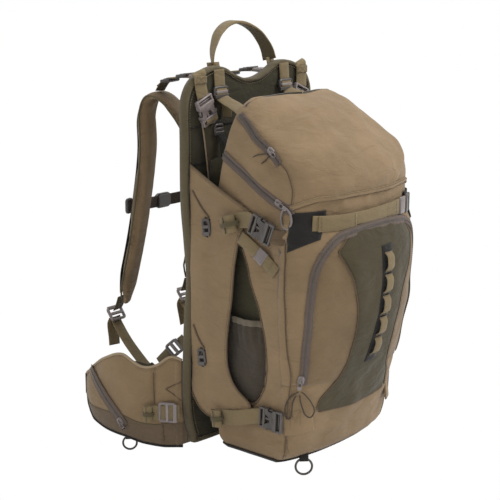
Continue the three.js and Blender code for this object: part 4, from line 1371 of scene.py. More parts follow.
def frame_cover():
    u = np.linspace(-1, 1, 61)[None]
    v = np.linspace(0, 1, 90)[:, None]
    top = np.interp(np.abs(u), [c[0] for c in FRAME_CROWN], [c[1] for c in FRAME_CROWN])
    foot = np.interp(np.abs(u), [c[0] for c in FRAME_FOOT], [c[1] for c in FRAME_FOOT])
    z = foot + v * (top - foot)
    x = u * frame_half(z)
    rim = np.minimum(fade(1 - np.abs(u), 0, 0.07), fade(np.minimum(v, 1 - v), 0, 0.02))
    y = 95.0 - 3.6 * rim + ripple(np.stack((x, x * 0 + 90, z), -1), 0.02, 7.0) * 1.2 * rim
    grid = np.stack((x, y, z), -1)
    verts, faces, tags = slab(grid, 1.0)
    back = np.array(verts)
    rows_cols = grid.shape[0] * grid.shape[1]
    back[rows_cols:, 1] = 101.0 + 3.6 * rim.reshape(-1)
    picks = lined(tags)
    piece("frame_cover", back, faces, (DARK_OLIVE, OLIVE), slot="olive_fabric", replaces=("frame_sheet",),
          picks=picks)
    edge = frame_outline()
    path = np.stack((edge[:, 0], np.full(len(edge), 98.0), edge[:, 1]), 1)
    section = [(7.2, -3.0), (7.9, 0.5), (7.0, 2.6), (5.0, 3.4), (0, 2.4), (-5.0, 3.4), (-7.0, 2.6),
               (-7.9, 0.5),
               (-7.2, -3.0), (0, -3.6)]
    piece("frame_binding", *sweep(path, (0, 1, 0), section, closed=True), BINDING, slot="olive_fabric")
    rows = []
    for y, out in ((90.2, (0, -1, 0)), (106.0, (0, 1, 0))):
        inner = np.stack((edge[:, 0] * 0.965, np.full(len(edge), y), edge[:, 1] * 0.985 + 4), 1)
        rows.append(stitches(inner, out, 4.2, 2.8, 0.42))
    piece("frame_stitches", *joined(rows), PALE_THREAD)
    for z, name in ((520, "high"), (462, "low")):
        line = np.stack((np.linspace(-146, 146, 40), np.full(40, 90.9), np.full(40, z)), 1)
        piece(f"frame_seam_{name}", *sweep(line, (0, 0, 1), flat_section(3.0, 1.0)), BLACK_WEB,
              slot="dark_webbing")


def soft_block(name, low, high, material, corner=12.0, puff=2.0, steps=14, slot="pad_fabric", replaces=()):
    """Foam block with rounded edges and slightly crowned faces."""
    low, high = np.array(low, float), np.array(high, float)
    work = bmesh.new()
    bmesh.ops.create_cube(work, size=2.0)
    bmesh.ops.subdivide_edges(work, edges=work.edges, cuts=steps, use_grid_fill=True)
    middle, half = (low + high) / 2, (high - low) / 2
    verts = np.array([v.co for v in work.verts])
    faces = [tuple(v.index for v in f.verts) for f in work.faces]
    work.verts.index_update()
    work.free()
    place = verts * half
    soft = np.minimum(corner, half * 0.98)
    core = np.clip(place, -(half - soft), half - soft)
    off = place - core
    reach = np.linalg.norm(off / soft, axis=1, keepdims=True)
    place = np.where(reach > 1, core + off / np.maximum(reach, 1e-6), place)
    crown = np.prod(np.where(np.abs(verts) > 0.999, 1.0, 1 - verts ** 2), axis=1)
    hit = np.abs(verts) > 0.999
    place = place + np.where(hit, np.sign(verts), 0) * (puff * crown)[:, None]
    return piece(name, place + middle, faces, material, slot=slot, replaces=replaces)


# ---- side wings and mesh pockets ----------------------------------------------------------------
WING_FRONT = ((-20, 64), (-30, 84), (-29, 96), (-10, 113), (4, 133), (11, 158), (11, 186), (7, 224), (2, 261),
              (-2, 301), (-7, 334), (-13, 361), (-24, 385), (-36, 404))


def coons(low, high, left, right, rows, cols):
    """Patch between four edges given as functions of 0..1."""
    u, v = np.linspace(0, 1, cols)[None, :, None], np.linspace(0, 1, rows)[:, None, None]
    bottom, top = low(u[0, :, 0])[None], high(u[0, :, 0])[None]
    rear, front = left(v[:, 0, 0])[:, None], right(v[:, 0, 0])[:, None]
    flat = bottom * (1 - v) + top * v + rear * (1 - u) + front * u
    corners = ((1 - u) * (1 - v) * bottom[:, :1] + u * (1 - v) * bottom[:, -1:] + (1 - u) * v * top[:, :1]
               + u * v * top[:, -1:])
    return flat - corners


def edge_of(points):
    path = smooth_path(points, 200)
    return lambda t: np.stack([np.interp(t, np.linspace(0, 1, 200), path[:, k]) for k in range(2)], -1)


def wing_place(y, z, side, lift=0.0):
    """The wing's cloth: pulled flat from the frame's edge to the bag's corner, with soft folds."""
    base = 148.2 + 2.4 * np.sin(np.clip((92 - y) / 120, 0, 1) * PI) * fade(z, 60, 130)
    base = base - 5.0 * fade(-y, -30, 20) * (1 - fade(z, 92, 125))
    base = base + folds(y, z, WING_FOLDS) + ripple(np.stack((z * 0 + 7, y, z), -1), 0.018, 2.0) * 1.6
    return np.stack((side * (base + lift), y, z), -1)


WING_FOLDS = (((84, 430), (-24, 392), 9, 2.2), ((80, 396), (30, 300), 10, -2.0),
              ((70, 350), (10, 372), 8, 1.6),
              ((84, 300), (20, 250), 12, 2.0), ((60, 230), (20, 170), 9, -1.6),
              ((84, 110), (-10, 84), 9, 2.6),
              ((84, 140), (6, 112), 9, -1.8), ((60, 68), (-8, 70), 6, 1.6))


WING_EDGES = {
    "rear": edge_of([(90, 92), (90, 150), (90, 300), (90, 464)]),
    "front": edge_of(WING_FRONT),
    "low": edge_of([(90, 92), (72, 68), (46, 58), (12, 60), (-20, 64)]),
    "high": edge_of([(90, 464), (48, 444), (6, 424), (-36, 404)])}
# Slits with a lock inside: rear and front end of each.
WING_SLITS = (((82, 424), (48, 386)), ((84, 206), (60, 172)))


def wing_cloth(side, name):
    flat = coons(WING_EDGES["low"], WING_EDGES["high"], WING_EDGES["rear"], WING_EDGES["front"], 96, 40)
    p = wing_place(flat[..., 0], flat[..., 1], side)
    verts, faces, tags = slab(p if side < 0 else p[:, ::-1], 1.6)
    wing = piece(f"{name}_wing_cloth", verts, faces, (TAN, DARK_OLIVE), replaces=(f"{name}_wing",),
                 picks=lined(tags))


def wing_hems(side, name):
    hems = []
    rows = []
    for edge, inset in (("front", (4.0, 0)), ("high", (0, -4.0)), ("low", (0, 4.0))):
        line = WING_EDGES[edge](np.linspace(0.01, 0.99, 90))
        hems.append(sweep(wing_place(line[:, 0], line[:, 1], side, 0.3), (side, 0, 0), round_section(1.3, 8)))
        row = line + np.array(inset)
        rows.append(stitches(wing_place(row[:, 0], row[:, 1], side, 0.5), (side, 0, 0)))
    piece(f"{name}_wing_hem", *joined(hems), BROWN)
    piece(f"{name}_wing_stitches", *joined(rows), THREAD)


def wing_slit(side, name, y0, z0, y1, z1):
    """A piped slit in the wing, with a lock and a strip of dark webbing behind its lips that paints the
    shadow in the slit.
    """
    t = np.linspace(0, 1, 12)
    line = np.stack((y0 + (y1 - y0) * t, z0 + (z1 - z0) * t - 4 * np.sin(t * PI)), 1)
    flap = wing_place(line[:, 0], line[:, 1], side, 1.0)
    piece(f"{name}_lip", *sweep(flap, (side, 0, 0), round_section(1.6, 8)), BROWN)
    low_lip = np.stack((np.interp(t, (0, 1), (y1, y1 + 16)), np.interp(t, (0, 1), (z1, z1 - 30))), 1)
    low_lip = wing_place(low_lip[:, 0], low_lip[:, 1], side, 0.8)
    piece(f"{name}_lip_low", *sweep(low_lip, (side, 0, 0), round_section(1.2, 8)), BROWN)
    lock = set_at(ladder_lock(17, 26), (side * 150.6, y1 + 5, z1 - 16), (0, 0.15, 1), (side, 0, 0))
    moulded(f"{name}_lock", lock, BLACK)
    # Black webbing strip behind the lock: a painted shadow inside the slit.
    shadow = [(side * 150.0, y1 + 3, z1 - 2), (side * 150.2, y1 + 6, z1 - 16),
              (side * 149.6, y1 + 9, z1 - 32)]
    webbing(f"{name}_strap", shadow, 12, (0, 1, 0), BLACK_WEB, slot="dark_webbing")


def wings():
    for side, name in SIDES:
        wing_cloth(side, name)
        wing_hems(side, name)
        for slit, (rear_end, front_end) in enumerate(WING_SLITS):
            wing_slit(side, f"{name}_slit_{slit}", *rear_end, *front_end)


MESH_TOP = 231.0
MESH_LOW = 97.0


def mesh_pockets():
    for side, name in SIDES:
        v = np.linspace(0, 1, 56)[:, None]
        u = np.linspace(0, 1, 44)[None]
        z = MESH_LOW + v * (MESH_TOP - MESH_LOW)
        window = np.interp(z, [w[0] for w in WINDOW], [w[1] for w in WINDOW])
        y = (window + 2) * (1 - u) + 42 * u
        gather = 2.6 * np.sin(u * 41 + 2.4 * np.sin(z / 19) + 5 * u * u) * fade(z, 165, 228) * fade(u, 0, 0.1)
        big = 4.2 * np.sin(u * 7.5 - z / 30) * fade(z, 110, 160) + 2.2 * np.sin(u * 17 + z / 15) * fade(z,
                                                                                                        120,
                                                                                                        180)
        out = 131.5 + 10.0 * np.sin(np.clip(u * 1.15, 0, 1) * PI) ** 0.6 * (0.45 + 0.55 * fade(z, MESH_LOW,
                                                                                               150))
        x = side * (out + (gather * 0.5 + big * 0.5) - 1.0)
        p = np.stack((np.broadcast_to(x, y.shape), y, np.broadcast_to(z, y.shape)), -1)
        grid = p if side < 0 else p[:, ::-1]
        verts, faces, _ = slab(grid[:, ::-1], 0.8)
        net = piece(f"{name}_mesh_cloth", verts, faces, MESH_CLOTH, replaces=(f"{name}_mesh_pocket",),
                            slot="mesh")
        band = p[-3]
        rim = np.stack((band[:, 0] + side * 1.0, band[:, 1], band[:, 2] + 1.0), 1)
        piece(f"{name}_mesh_binding", *sweep(smooth_rows(rim), (0, 0, 1), flat_section(10, 2.2)), PALE_WEB,
              slot="webbing")




# ---- padded pieces ------------------------------------------------------------------------------
def inflate(made, voxel, pressure, cap):
    """Puffs a closed mesh like stuffed cloth by a short pressure simulation, moving it at most cap mm."""
    scene = bpy.context.scene
    remesh = made.modifiers.new("remesh", "REMESH")
    remesh.mode = "VOXEL"
    remesh.voxel_size = voxel * MM
    apply_modifiers(made)
    start = np.array([v.co for v in made.data.vertices])
    sim = made.modifiers.new("cloth", "CLOTH")
    sim.settings.use_pressure = True
    sim.settings.uniform_pressure_force = pressure
    sim.settings.effector_weights.gravity = 0.0
    sim.settings.quality = 4
    sim.settings.tension_stiffness = 18
    sim.settings.compression_stiffness = 18
    sim.settings.bending_stiffness = 0.4
    sim.point_cache.frame_start, sim.point_cache.frame_end = 1, 20
    for step in range(1, 21):
        scene.frame_set(step)
    apply_modifiers(made)
    scene.frame_set(1)
    end = np.array([v.co for v in made.data.vertices])
    move = end - start
    far = np.linalg.norm(move, axis=1, keepdims=True)
    end = start + move * np.minimum(1, cap * MM / np.maximum(far, 1e-9))
    made.data.vertices.foreach_set("co", end.reshape(-1))
    relax = made.modifiers.new("relax", "SMOOTH")
    relax.factor, relax.iterations = 0.5, 4
    finer = made.modifiers.new("finer", "SUBSURF")
    finer.levels = finer.render_levels = 1
    apply_modifiers(made)
    made.data.shade_smooth()
    return made


def apply_modifiers(made):
    bpy.context.view_layer.update()
    final = bpy.data.meshes.new_from_object(made.evaluated_get(bpy.context.evaluated_depsgraph_get()))
    made.modifiers.clear()
    old = made.data
    made.data = final
    bpy.data.meshes.remove(old)


def shape_points(made, move):
    """Moves every vertex by move(places in mm, normals) in mm."""
    mesh = made.data
    places = np.array([v.co for v in mesh.vertices]) / MM
    normals = np.array([v.normal for v in mesh.vertices])
    places = places + move(places, normals)
    mesh.vertices.foreach_set("co", (places * MM).reshape(-1))
    mesh.update()


def settle(made, points, directions, lift):
    """Drops points onto a padded piece from the given directions, in mm."""
    bpy.context.view_layer.update()
    resting = []
    for point, away in zip(points, unit(directions)):
        hit, place, _, _ = made.ray_cast(Vector((point + away * 25) * MM), Vector(-away))
        resting.append((np.array(place) / MM if hit else point) + away * lift)
    return smooth_rows(np.array(resting))


def loft(rings):
    """Closed body through rings of points, as verts and faces."""
    rings = np.array(rings)
    count, sides = rings.shape[:2]
    faces = [(i * sides + j, i * sides + (j + 1) % sides, (i + 1) * sides + (j + 1) % sides,
              (i + 1) * sides + j)
             for i in range(count - 1) for j in range(sides)]
    faces += [tuple(range(sides))[::-1], tuple((count - 1) * sides + j for j in range(sides))]
    return rings.reshape(-1, 3), faces


def pad_section(width, thick, power=2.6, sides=28):
    points = []
    for k in range(sides):
        a = 2 * PI * k / sides
        c, s = math.cos(a), math.sin(a)
        points.append((width / 2 * math.copysign(abs(c) ** (2 / power), c),
                       thick / 2 * math.copysign(abs(s) ** (2 / power), s)))
    return points


SHOULDER_ROUTE = ((-58, 144, 446), (-64, 172, 504), (-72, 204, 546), (-78, 235, 557), (-82, 250, 530),
                  (-84, 248, 461), (-86, 261, 373), (-86, 278, 301), (-86, 300, 226), (-86, 311, 186))


# Boxed rows of stitches that hold the rail: their places along the strap's 90 points.
RAIL_TACKS = (34, 46, 58, 70, 82)


def shoulder_pad(side, name):
    """Padded strap with its darker lining, rolled edges, stitches and the sternum strap's rail."""
    route = smooth_path(mirrored(side, *SHOULDER_ROUTE), 90)
    across = np.array((0.94 * -side, 0.34, 0))
    end = np.clip(np.minimum(np.arange(90), 89 - np.arange(90)) / 7, 0.25, 1) ** 0.5
    shape = np.stack((end * np.interp(np.arange(90), (0, 30, 60, 89), (0.92, 1, 0.98, 0.84)), end ** 0.5), 1)
    body = sweep(route, across, pad_section(60, 12), scale=shape)
    pad = piece(f"{name}_shoulder_pad", *body, TAN, slot="pad_fabric", replaces=(f"{name}_shoulder_strap",))
    inflate(pad, 4.5, 4.0, 5.0)
    tangent = unit(np.gradient(route, axis=0))
    wide = unit(across - tangent * np.sum(across * tangent, 1, keepdims=True))
    normal = np.cross(tangent, wide)
    outward = normal if np.mean(normal[50:, 1]) > 0 else -normal
    paint_faces(pad, STRAP_FACE, route[8:], outward[8:], 0.35)
    edge = [route + wide * sign * 29.5 * shape[:, :1] for sign in (1, -1)]
    parts = [sweep(e[3:87], wide[3:87], round_section(1.7, 8)) for e in edge]
    piece(f"{name}_shoulder_piping", *joined(parts), OLIVE_WEB, slot="pad_fabric")
    rows = [stitches(settle(pad, route[8:82] + wide[8:82] * sign * 22, outward[8:82], 0.1), outward[8:82])
            for sign in (1, -1)]
    piece(f"{name}_shoulder_stitches", *joined(rows), THREAD)
    rail = settle(pad, route[30:86] - wide[30:86] * 4, outward[30:86], 1.1)
    piece(f"{name}_shoulder_rail", *sweep(rail, wide[30:86], flat_section(20, 1.6)), BLACK_WEB,
          slot="dark_webbing")
    for k in RAIL_TACKS:
        tack = np.stack([rail[k - 30] + outward[k] * 1.1 + wide[k] * d for d in (-9, 0, 9)])
        piece(f"{name}_rail_bartack_{k}", *stitches(tack, outward[k], 1.9, 1.6), PALE_THREAD)


def lower_harness(side, name):
    """Webbing through the adjuster at the strap's foot, down to the frame."""
    foot = mirrored(side, (-86, 316, 200), (-86.5, 321, 186), (-87.4, 327, 174))
    lower = mirrored(side, (-88, 331, 160), (-88.4, 326, 148), (-93, 290, 116), (-102, 226, 80),
                     (-112, 160, 62),
                     (-118, 124, 56))
    tail = mirrored(side, (-88, 335, 158), (-88, 340, 146), (-89, 336, 122), (-90, 334, 108))
    webbing(f"{name}_adjuster_strap", foot, 25, (1, 0.2 * -side, 0), OLIVE_WEB)
    webbing(f"{name}_lower_harness_webbing", lower, 25, (1, 0.2 * -side, 0),
            replaces=(f"{name}_lower_webbing",),
            count=40)
    webbing(f"{name}_adjuster_tail", tail, 25, (1, 0, 0))


def load_lifter(side, name):
    """Webbing from the frame's top to the shoulder strap, with its two locks."""
    lifter = mirrored(side, (-80, 106, 588), (-78, 150, 590.5), (-76, 186, 587.5), (-75.5, 203, 585),
                      (-77, 222, 572))
    webbing(f"{name}_lifter_webbing", lifter, 20, (1, 0, 0), replaces=(f"{name}_load_lifter",))
    for label, middle, along, finish in (("front", (-78, 136, 592.5), (0, 1, 0.05), MAUVE),
                                         ("rear", (-77, 166, 592), (0, 1, -0.12), BLACK)):
        lock = set_at(ladder_lock(27, 24), on_side(side, middle), on_side(side, along), (0, 0, 1))
        moulded(f"{name}_lifter_{label}_lock", lock, finish)
    loop = mirrored(side, (-75, 210, 581), (-76, 217, 574), (-77, 224, 564))
    webbing(f"{name}_lifter_loop", loop, 22, (1, 0, 0), OLIVE_WEB)


def shoulder_straps():
    for side, name in SIDES:
        shoulder_pad(side, name)
        lower_harness(side, name)
        load_lifter(side, name)


def paint_faces(made, material, centres, directions, limit):
    """Faces turned the given way beside a path take another material."""
    mesh = made.data
    mesh.materials.append(material)
    slot_number = len(mesh.materials) - 1
    middles = np.array([f.center for f in mesh.polygons]) / MM
    normals = np.array([f.normal for f in mesh.polygons])
    nearest = np.argmin(((middles[:, None] - centres[None]) ** 2).sum(2), 1)
    turned = (normals * directions[nearest]).sum(1) > limit
    for polygon, hit in zip(mesh.polygons, turned):
        if hit:
            polygon.material_index = slot_number


BELT = ((-150, 110, 4, 138, 14), (-171, 145, 0, 128, 20), (-183, 190, -2, 112, 26), (-185, 235, -1, 104, 28),
        (-176, 285, 4, 98, 26), (-159, 322, 18, 86, 20), (-147, 342, 34, 72, 12))
# Height of the outer pouch's top edge along the belt: distance share, height.
POUCH_TOP = ((0, 140), (0.05, 147), (0.1, 144), (0.14, 133), (0.2, 125), (0.28, 123), (0.34, 129),
             (0.415, 141),
             (0.5, 136), (0.645, 118), (0.8, 92), (0.94, 74), (1, 66))
POUCH_LOW = ((0, -7), (0.12, -8), (0.28, -6), (0.4, -1), (0.6, 1), (0.76, 6), (0.92, 20), (1, 34))
PAD_TOP = ((0, 134), (0.1, 138), (0.35, 137), (0.5, 128), (0.66, 108), (0.85, 82), (1, 66))
BELT_SEAMS = (((150, 118), (149, 92), (148, 66)), ((138, 38), (137, 20), (136, 0)),
              ((132, 92), (121, 99), (111, 104)),
              ((132, 92), (121, 82), (111, 72)))
ZIP_LINE = ((294, 93), (280, 88), (265, 80), (241, 62), (217, 39), (201, 18))


BELT_POINTS = 60
POUCH_ROWS = 34
POUCH_BAND = 9


def belt_line(count):
    """The belt's line from above with its outward directions, foot, top, thickness and distance shares."""
    path = smooth_path([(b[0], b[1]) for b in BELT], count)
    share = np.linspace(0, 1, count)
    steps = np.hypot(*np.diff([(b[0], b[1]) for b in BELT], axis=0).T)
    spots = np.concatenate(((0,), np.cumsum(steps))) / steps.sum()
    low, high, thick = (np.interp(share, spots, [b[k] for b in BELT]) for k in (2, 3, 4))
    tangent = unit(np.gradient(path, axis=0))
    out = np.stack((-tangent[:, 1], tangent[:, 0]), 1)
    out = out * np.sign(-out[:, :1])
    return path, out, low, high, thick, share


def table_at(share, table):
    return np.interp(share, [row[0] for row in table], [row[1] for row in table])


def belt_at(side, path, out, depth, z):
    """Points outward of the belt's line by depth, at height z, on the given side."""
    flat = path + out * np.asarray(depth)[..., None]
    return np.stack((flat[..., 0] * -side, flat[..., 1], np.broadcast_to(z, flat.shape[:-1])), -1)


def pouch_bulge(v, share):
    """How full the pouch is, as a share of the belt's thickness, at v of its height."""
    return (0.08 + 0.44 * np.sin(np.clip(v * 0.93 + 0.05, 0, 1) * PI) ** 0.5
            * np.sin(np.clip(share, 0.02, 0.98) * PI) ** 0.4)


def pouch_edges():
    """Heights of the pouch's foot and top along the belt."""
    share = np.linspace(0, 1, BELT_POINTS)
    return table_at(share, POUCH_LOW), smooth_rows(smooth_rows(table_at(share, POUCH_TOP)))


def belt_foam(side, name, body):
    """Inner padded wing of the belt, lined dark."""
    path, out, low, _, thick, share = belt_line(BELT_POINTS)
    pad_top = table_at(share, PAD_TOP)
    rings = []
    for i in range(BELT_POINTS):
        ring = []
        end = min(1.0, 0.35 + 0.65 * math.sin(min(1, min(i, BELT_POINTS - 1 - i) / 6) * PI / 2))
        for u, v in pad_section(2.0, 2.0, 3.0, 26):
            z = (low[i] + pad_top[i]) / 2 + v * (pad_top[i] - low[i] - 4) / 2 * (0.9 + 0.1 * end)
            ring.append(belt_at(side, path[i], out[i], -thick[i] * 0.24 + u * thick[i] * 0.2 * end, z))
        rings.append(ring)
    pad = piece(f"{name}_belt_pad", *loft(rings), DARK_OLIVE, body, slot="pad_fabric")
    inflate(pad, 5.0, 3.0, 3.0)


def belt_picks(tags):
    """Dark lining inside, a darker band along the pouch's foot outside."""
    return [1 if kind == 1 else (2 if kind == 0 and row < POUCH_BAND else 0) for kind, row, _ in tags]


def belt_pouch(side, name, body):
    """Outer pouch with its curled top edge; returns its outer face as a grid."""
    path, out, _, _, thick, share = belt_line(BELT_POINTS)
    foot, top = pouch_edges()
    v = np.linspace(0, 1, POUCH_ROWS)[:, None]
    z = foot[None] + v * (top - foot)[None]
    depth = thick[None] * pouch_bulge(v, share[None])
    depth = depth + 1.6 * np.sin(share * 34)[None] * fade(v, 0.5, 0.9) * 0.4
    depth = depth - 3.4 * np.exp(-((share[None] - 0.19) / 0.012) ** 2) * fade(v, 0.35, 0.6)
    spots = np.stack((share[None] * 60 + z * 0, z * 0, z), -1)
    depth = depth + ripple(spots, 0.03, 4.0) * 1.6
    grid = belt_at(side, np.broadcast_to(path[None], (POUCH_ROWS, BELT_POINTS, 2)), out[None], depth, z)
    verts, faces, tags = slab(grid if side > 0 else grid[:, ::-1], 2.0)
    piece(f"{name}_belt_pouch", verts, faces, (TAN, DARK_OLIVE, BELT_BASE), body, slot="pad_fabric",
          replaces=(body,), picks=belt_picks(tags))
    rim = belt_at(side, path, out, depth[-1] + 0.2, z[-1] + 0.6)
    piece(f"{name}_belt_rim", *tube(smooth_rows(rim), 2.3, 10, count=0), PALE_TAN, body)
    under = belt_at(side, path, out, depth[0] + 0.4, z[0] - 0.2)
    piece(f"{name}_belt_base_binding", *tube(under, 2.0, 8, count=0), BLACK_WEB, body, slot="dark_webbing")
    normals = belt_at(side, path * 0, out, np.ones(BELT_POINTS), 0 * share)
    line = grid[POUCH_BAND] + normals * 0.3
    piece(f"{name}_belt_seam", *tube(line, 0.8, 6, count=0), OLIVE_WEB, body)
    row = rim - np.array((0, 0, 6.0)) + normals * 1.2
    piece(f"{name}_belt_stitches", *stitches(row, normals), THREAD, body)
    return grid


def on_pouch(side, points, count, lift):
    """A line on the pouch through (Y, Z) points: places, normals and directions across."""
    path, out, _, _, thick, share = belt_line(BELT_POINTS)
    foot, top = pouch_edges()
    line = smooth_path(points, count)
    s, z = np.interp(line[:, 0], path[:, 1], share), line[:, 1]
    v = (z - np.interp(s, share, foot)) / (np.interp(s, share, top) - np.interp(s, share, foot))
    depth = np.interp(s, share, thick) * pouch_bulge(v, s) + lift
    place = np.stack([np.interp(s, share, path[:, k]) for k in range(2)], 1)
    away = unit(np.stack([np.interp(s, share, out[:, k]) for k in range(2)], 1))
    p = belt_at(side, place, away, depth, z)
    n = unit(belt_at(side, place * 0, away, np.ones(count), 0 * s))
    return p, n, across_of(p, n)


def belt_zip(side, name, body):
    """Folds beside the frame, and the zip across the pouch near its tip."""
    for k, points in enumerate(BELT_SEAMS):
        p, n, across = on_pouch(side, points, 24, 0.6)
        piece(f"{name}_belt_fold_{k}", *sweep(p, across, round_section(1.0, 6)), BROWN, body)
    p, n, across = on_pouch(side, ZIP_LINE, 50, 2.0)
    zip_tape(f"{name}_belt_zip", p, n, across, 19.0, (body, body))
    moulded(f"{name}_belt_slider", set_at(slider_body(7), p[-5] + n[-5], p[-8] - p[-3], n[-5]), MAUVE, body)


def belt_root(side, name, grid):
    """Panel joining the pouch to the frame."""
    reach = np.linspace(0, 1, 10)[None, :, None]
    inner = np.stack((np.full(POUCH_ROWS, 137.0 * side), np.full(POUCH_ROWS, 105.2),
                      grid[:, 0, 2] * 0.94 + 4), 1)
    root = inner[:, None] * (1 - reach) + grid[:, 3:4] * reach
    root[..., 0] = root[..., 0] + side * 6 * np.sin(reach[..., 0] * PI)
    verts, faces, tags = slab(root if side > 0 else root[:, ::-1], 2.0)
    picks = [1 if kind == 1 else (2 if row < POUCH_BAND else 0) for kind, row, _ in tags]
    panel = piece(f"{name}_belt_root", verts, faces, (TAN, DARK_OLIVE, BELT_BASE), None, slot="pad_fabric",
                  picks=picks)
    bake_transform(panel)


def belt_webbing(side, name, body):
    """Webbing through the ladder lock with its rolled tail, and the stabiliser strap to the frame."""
    band = mirrored(side, (-188, 149, 50), (-183.5, 139, 52), (-176.5, 127, 53.4), (-169.5, 114, 55),
                    (-162, 104.5, 56))
    webbing(f"{name}_belt_strap", band, 25, (0, 0, 1), KHAKI, body)
    rolled_end(f"{name}_belt_roll", *mirrored(side, (-191, 149, 50), (-0.4, 0.9, 0), (-0.9, -0.4, 0)), 27,
               body,
               radius=6.0)
    stay = mirrored(side, (-148, 106, 176), (-151, 114, 168), (-158, 130, 152), (-166, 146, 132))
    webbing(f"{name}_stabiliser", stay[2:], 20, (0.3, 0.3, 1), OLIVE_WEB, body)
    webbing(f"{name}_stabiliser_frame", stay[:2], 20, (0.3, 0.3, 1), OLIVE_WEB)
    place = mirrored(side, (-155, 122, 160), (-0.42, 0.62, -0.66), (-0.8, -0.5, 0.1))
    moulded(f"{name}_stabiliser_lock", set_at(ladder_lock(25, 24), *place), BLACK, body)


def waist_buckle(side, name, body):
    half = [(14, -12), (14, 12), (8, 15), (-8, 15), (-14, 12), (-14, -12), (-8, -15), (8, -15)]
    clasp = joined([prism(half, -4.6, 0.8), prism([(x * 0.86, y * 0.86) for x, y in half], 1.4, 4.6),
                    chamfer_box((-12, -1.5, -5.4), (12, 1.5, 5.2))])
    moulded(f"{name}_waist_clasp", set_at(clasp, on_side(side, (-122, 339, 53)), (0, 0, 1), (0, 1, 0)),
            BLACK, body,
            (f"{name}_waist_buckle",))
    strap = mirrored(side, (-158, 336, 53), (-147, 342, 53), (-136, 341.5, 53), (-128, 340, 53))
    webbing(f"{name}_waist_webbing", strap, 36, (0, 0, 1), OLIVE_WEB, body)


def hip_belts():
    for side, name in SIDES:
        body = f"{name}_hip_belt"
        belt_foam(side, name, body)
        grid = belt_pouch(side, name, body)
        belt_zip(side, name, body)
        belt_root(side, name, grid)
        belt_webbing(side, name, body)
        waist_buckle(side, name, body)


def back_channels(p, normals):
    """Sewn channels across the back pads."""
    groove = sum(np.exp(-((p[:, 2] - h) / 3.2) ** 2) for h in (246, 322, 398, 474))
    return -normals * (2.6 * groove * (p[:, 1] > 114))[:, None]


def back_pad(side, name):
    u = np.linspace(0, 1, 20)[None]
    v = np.linspace(0, 1, 70)[:, None]
    z = 170 + v * 380
    wide = np.interp(z, (170, 300, 470, 550), (100, 105, 100, 78))
    x = side * (19 + u * (wide - 21))
    round_off = np.minimum(fade(np.minimum(u, 1 - u), 0, 0.2), fade(np.minimum(v, 1 - v), 0, 0.05))
    front = np.stack(np.broadcast_arrays(x, 116 + 5.5 * round_off, z), -1)
    verts, faces, _ = slab(front, 1.0)
    verts = np.array(verts)
    n = front.shape[0] * front.shape[1]
    verts[n:, 0], verts[n:, 2] = verts[:n, 0], verts[:n, 2]
    verts[n:, 1] = 114 - 5.5 * round_off.reshape(-1) * 0.9
    pad = piece(f"{name}_back_pad", verts, faces, OLIVE, slot="pad_fabric",
                replaces=("back_pad",) if side < 0 else ())
    inflate(pad, 5.0, 3.0, 3.0)
    shape_points(pad, back_channels)


def spine_panel():
    """Bound edge round the back pads and the mesh between them."""
    outline = smooth_path([(98, 172), (104, 300), (100, 466), (80, 550), (-80, 550), (-100, 466), (-104, 300),
                           (-98, 172)], 80, closed=True)[:-1]
    plate = np.stack((outline[:, 0], np.full(len(outline), 109.5), outline[:, 1]), 1)
    piece("back_pad_binding", *sweep(plate, (0, 1, 0), flat_section(4.0, 3.0), closed=True), OLIVE_WEB,
          slot="pad_fabric")
    x, z = np.meshgrid(np.linspace(-20, 20, 12), np.linspace(166, 552, 60))
    spine = np.stack((x, np.full(x.shape, 110.6), z), -1)
    verts, faces, _ = slab(spine[:, ::-1], 1.6)
    piece("back_spine_mesh", verts, faces, MESH_CLOTH, slot="mesh")


# Lumbar cushion: height, half width and depth of each ring.
LUMBAR = ((12, 84, 14), (30, 97, 27), (56, 100, 31), (84, 99, 31), (112, 97, 30), (132, 93, 25),
          (152, 82, 14))


def lumbar_grooves(p, normals):
    mark = np.exp(-((np.abs(p[:, 0]) - 34 - 0.06 * (p[:, 2] - 80)) / 3.4) ** 2)
    return -normals * (3.4 * mark * (p[:, 1] > 120))[:, None]


def lumbar_cushion():
    rings = []
    for z, half, deep in LUMBAR:
        ring = []
        for k in range(40):
            c, s = math.cos(2 * PI * k / 40), math.sin(2 * PI * k / 40)
            ring.append((half * math.copysign(abs(c) ** 0.55, c),
                         110 + (deep / 2) * (1 + math.copysign(abs(s) ** 0.7, s)), z))
        rings.append(ring)
    lumbar = piece("lumbar_cushion", *loft(rings), DARK_OLIVE, slot="pad_fabric", replaces=("lumbar_pad",))
    inflate(lumbar, 5.0, 4.0, 4.0)
    shape_points(lumbar, lumbar_grooves)


def back_pads():
    for side, name in SIDES:
        back_pad(side, name)
    spine_panel()
    lumbar_cushion()


def stay_sleeves():
    """Aluminium stays, each in a fabric sleeve sewn to the frame."""
    for sign, name in SIDES:
        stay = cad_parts[f"{name}_stay"]
        stay.data.materials.clear()
        stay.data.materials.append(ALLOY)
        z = np.linspace(24, 577, 60)[:, None]
        u = np.linspace(-1, 1, 15)[None]
        cover = 3.4 * fade(1 - np.abs(u), 0, 0.25) * fade(z, 24, 30) * (1 - fade(z, 571, 577))
        y = 104.9 + cover + ripple(np.stack((u * 14 + 0 * z, 0 * z + 0 * u, z + 0 * u), -1), 0.05, 5.0) * 0.3
        grid = np.stack(np.broadcast_arrays(sign * 45 - u * 14.5, y, z), -1)
        verts, faces, _ = slab(grid, 0.5)
        piece(f"{name}_stay_sleeve", verts, faces, OLIVE, slot="olive_fabric")
        for edge in (-13.4, 13.4):
            line = np.stack((np.full(60, sign * 45 + edge), np.full(60, 105.4), z[:, 0]), 1)
            piece(f"{name}_sleeve_stitches_{'in' if edge * sign < 0 else 'out'}", *stitches(line, (0, 1, 0)),
                  PALE_THREAD)


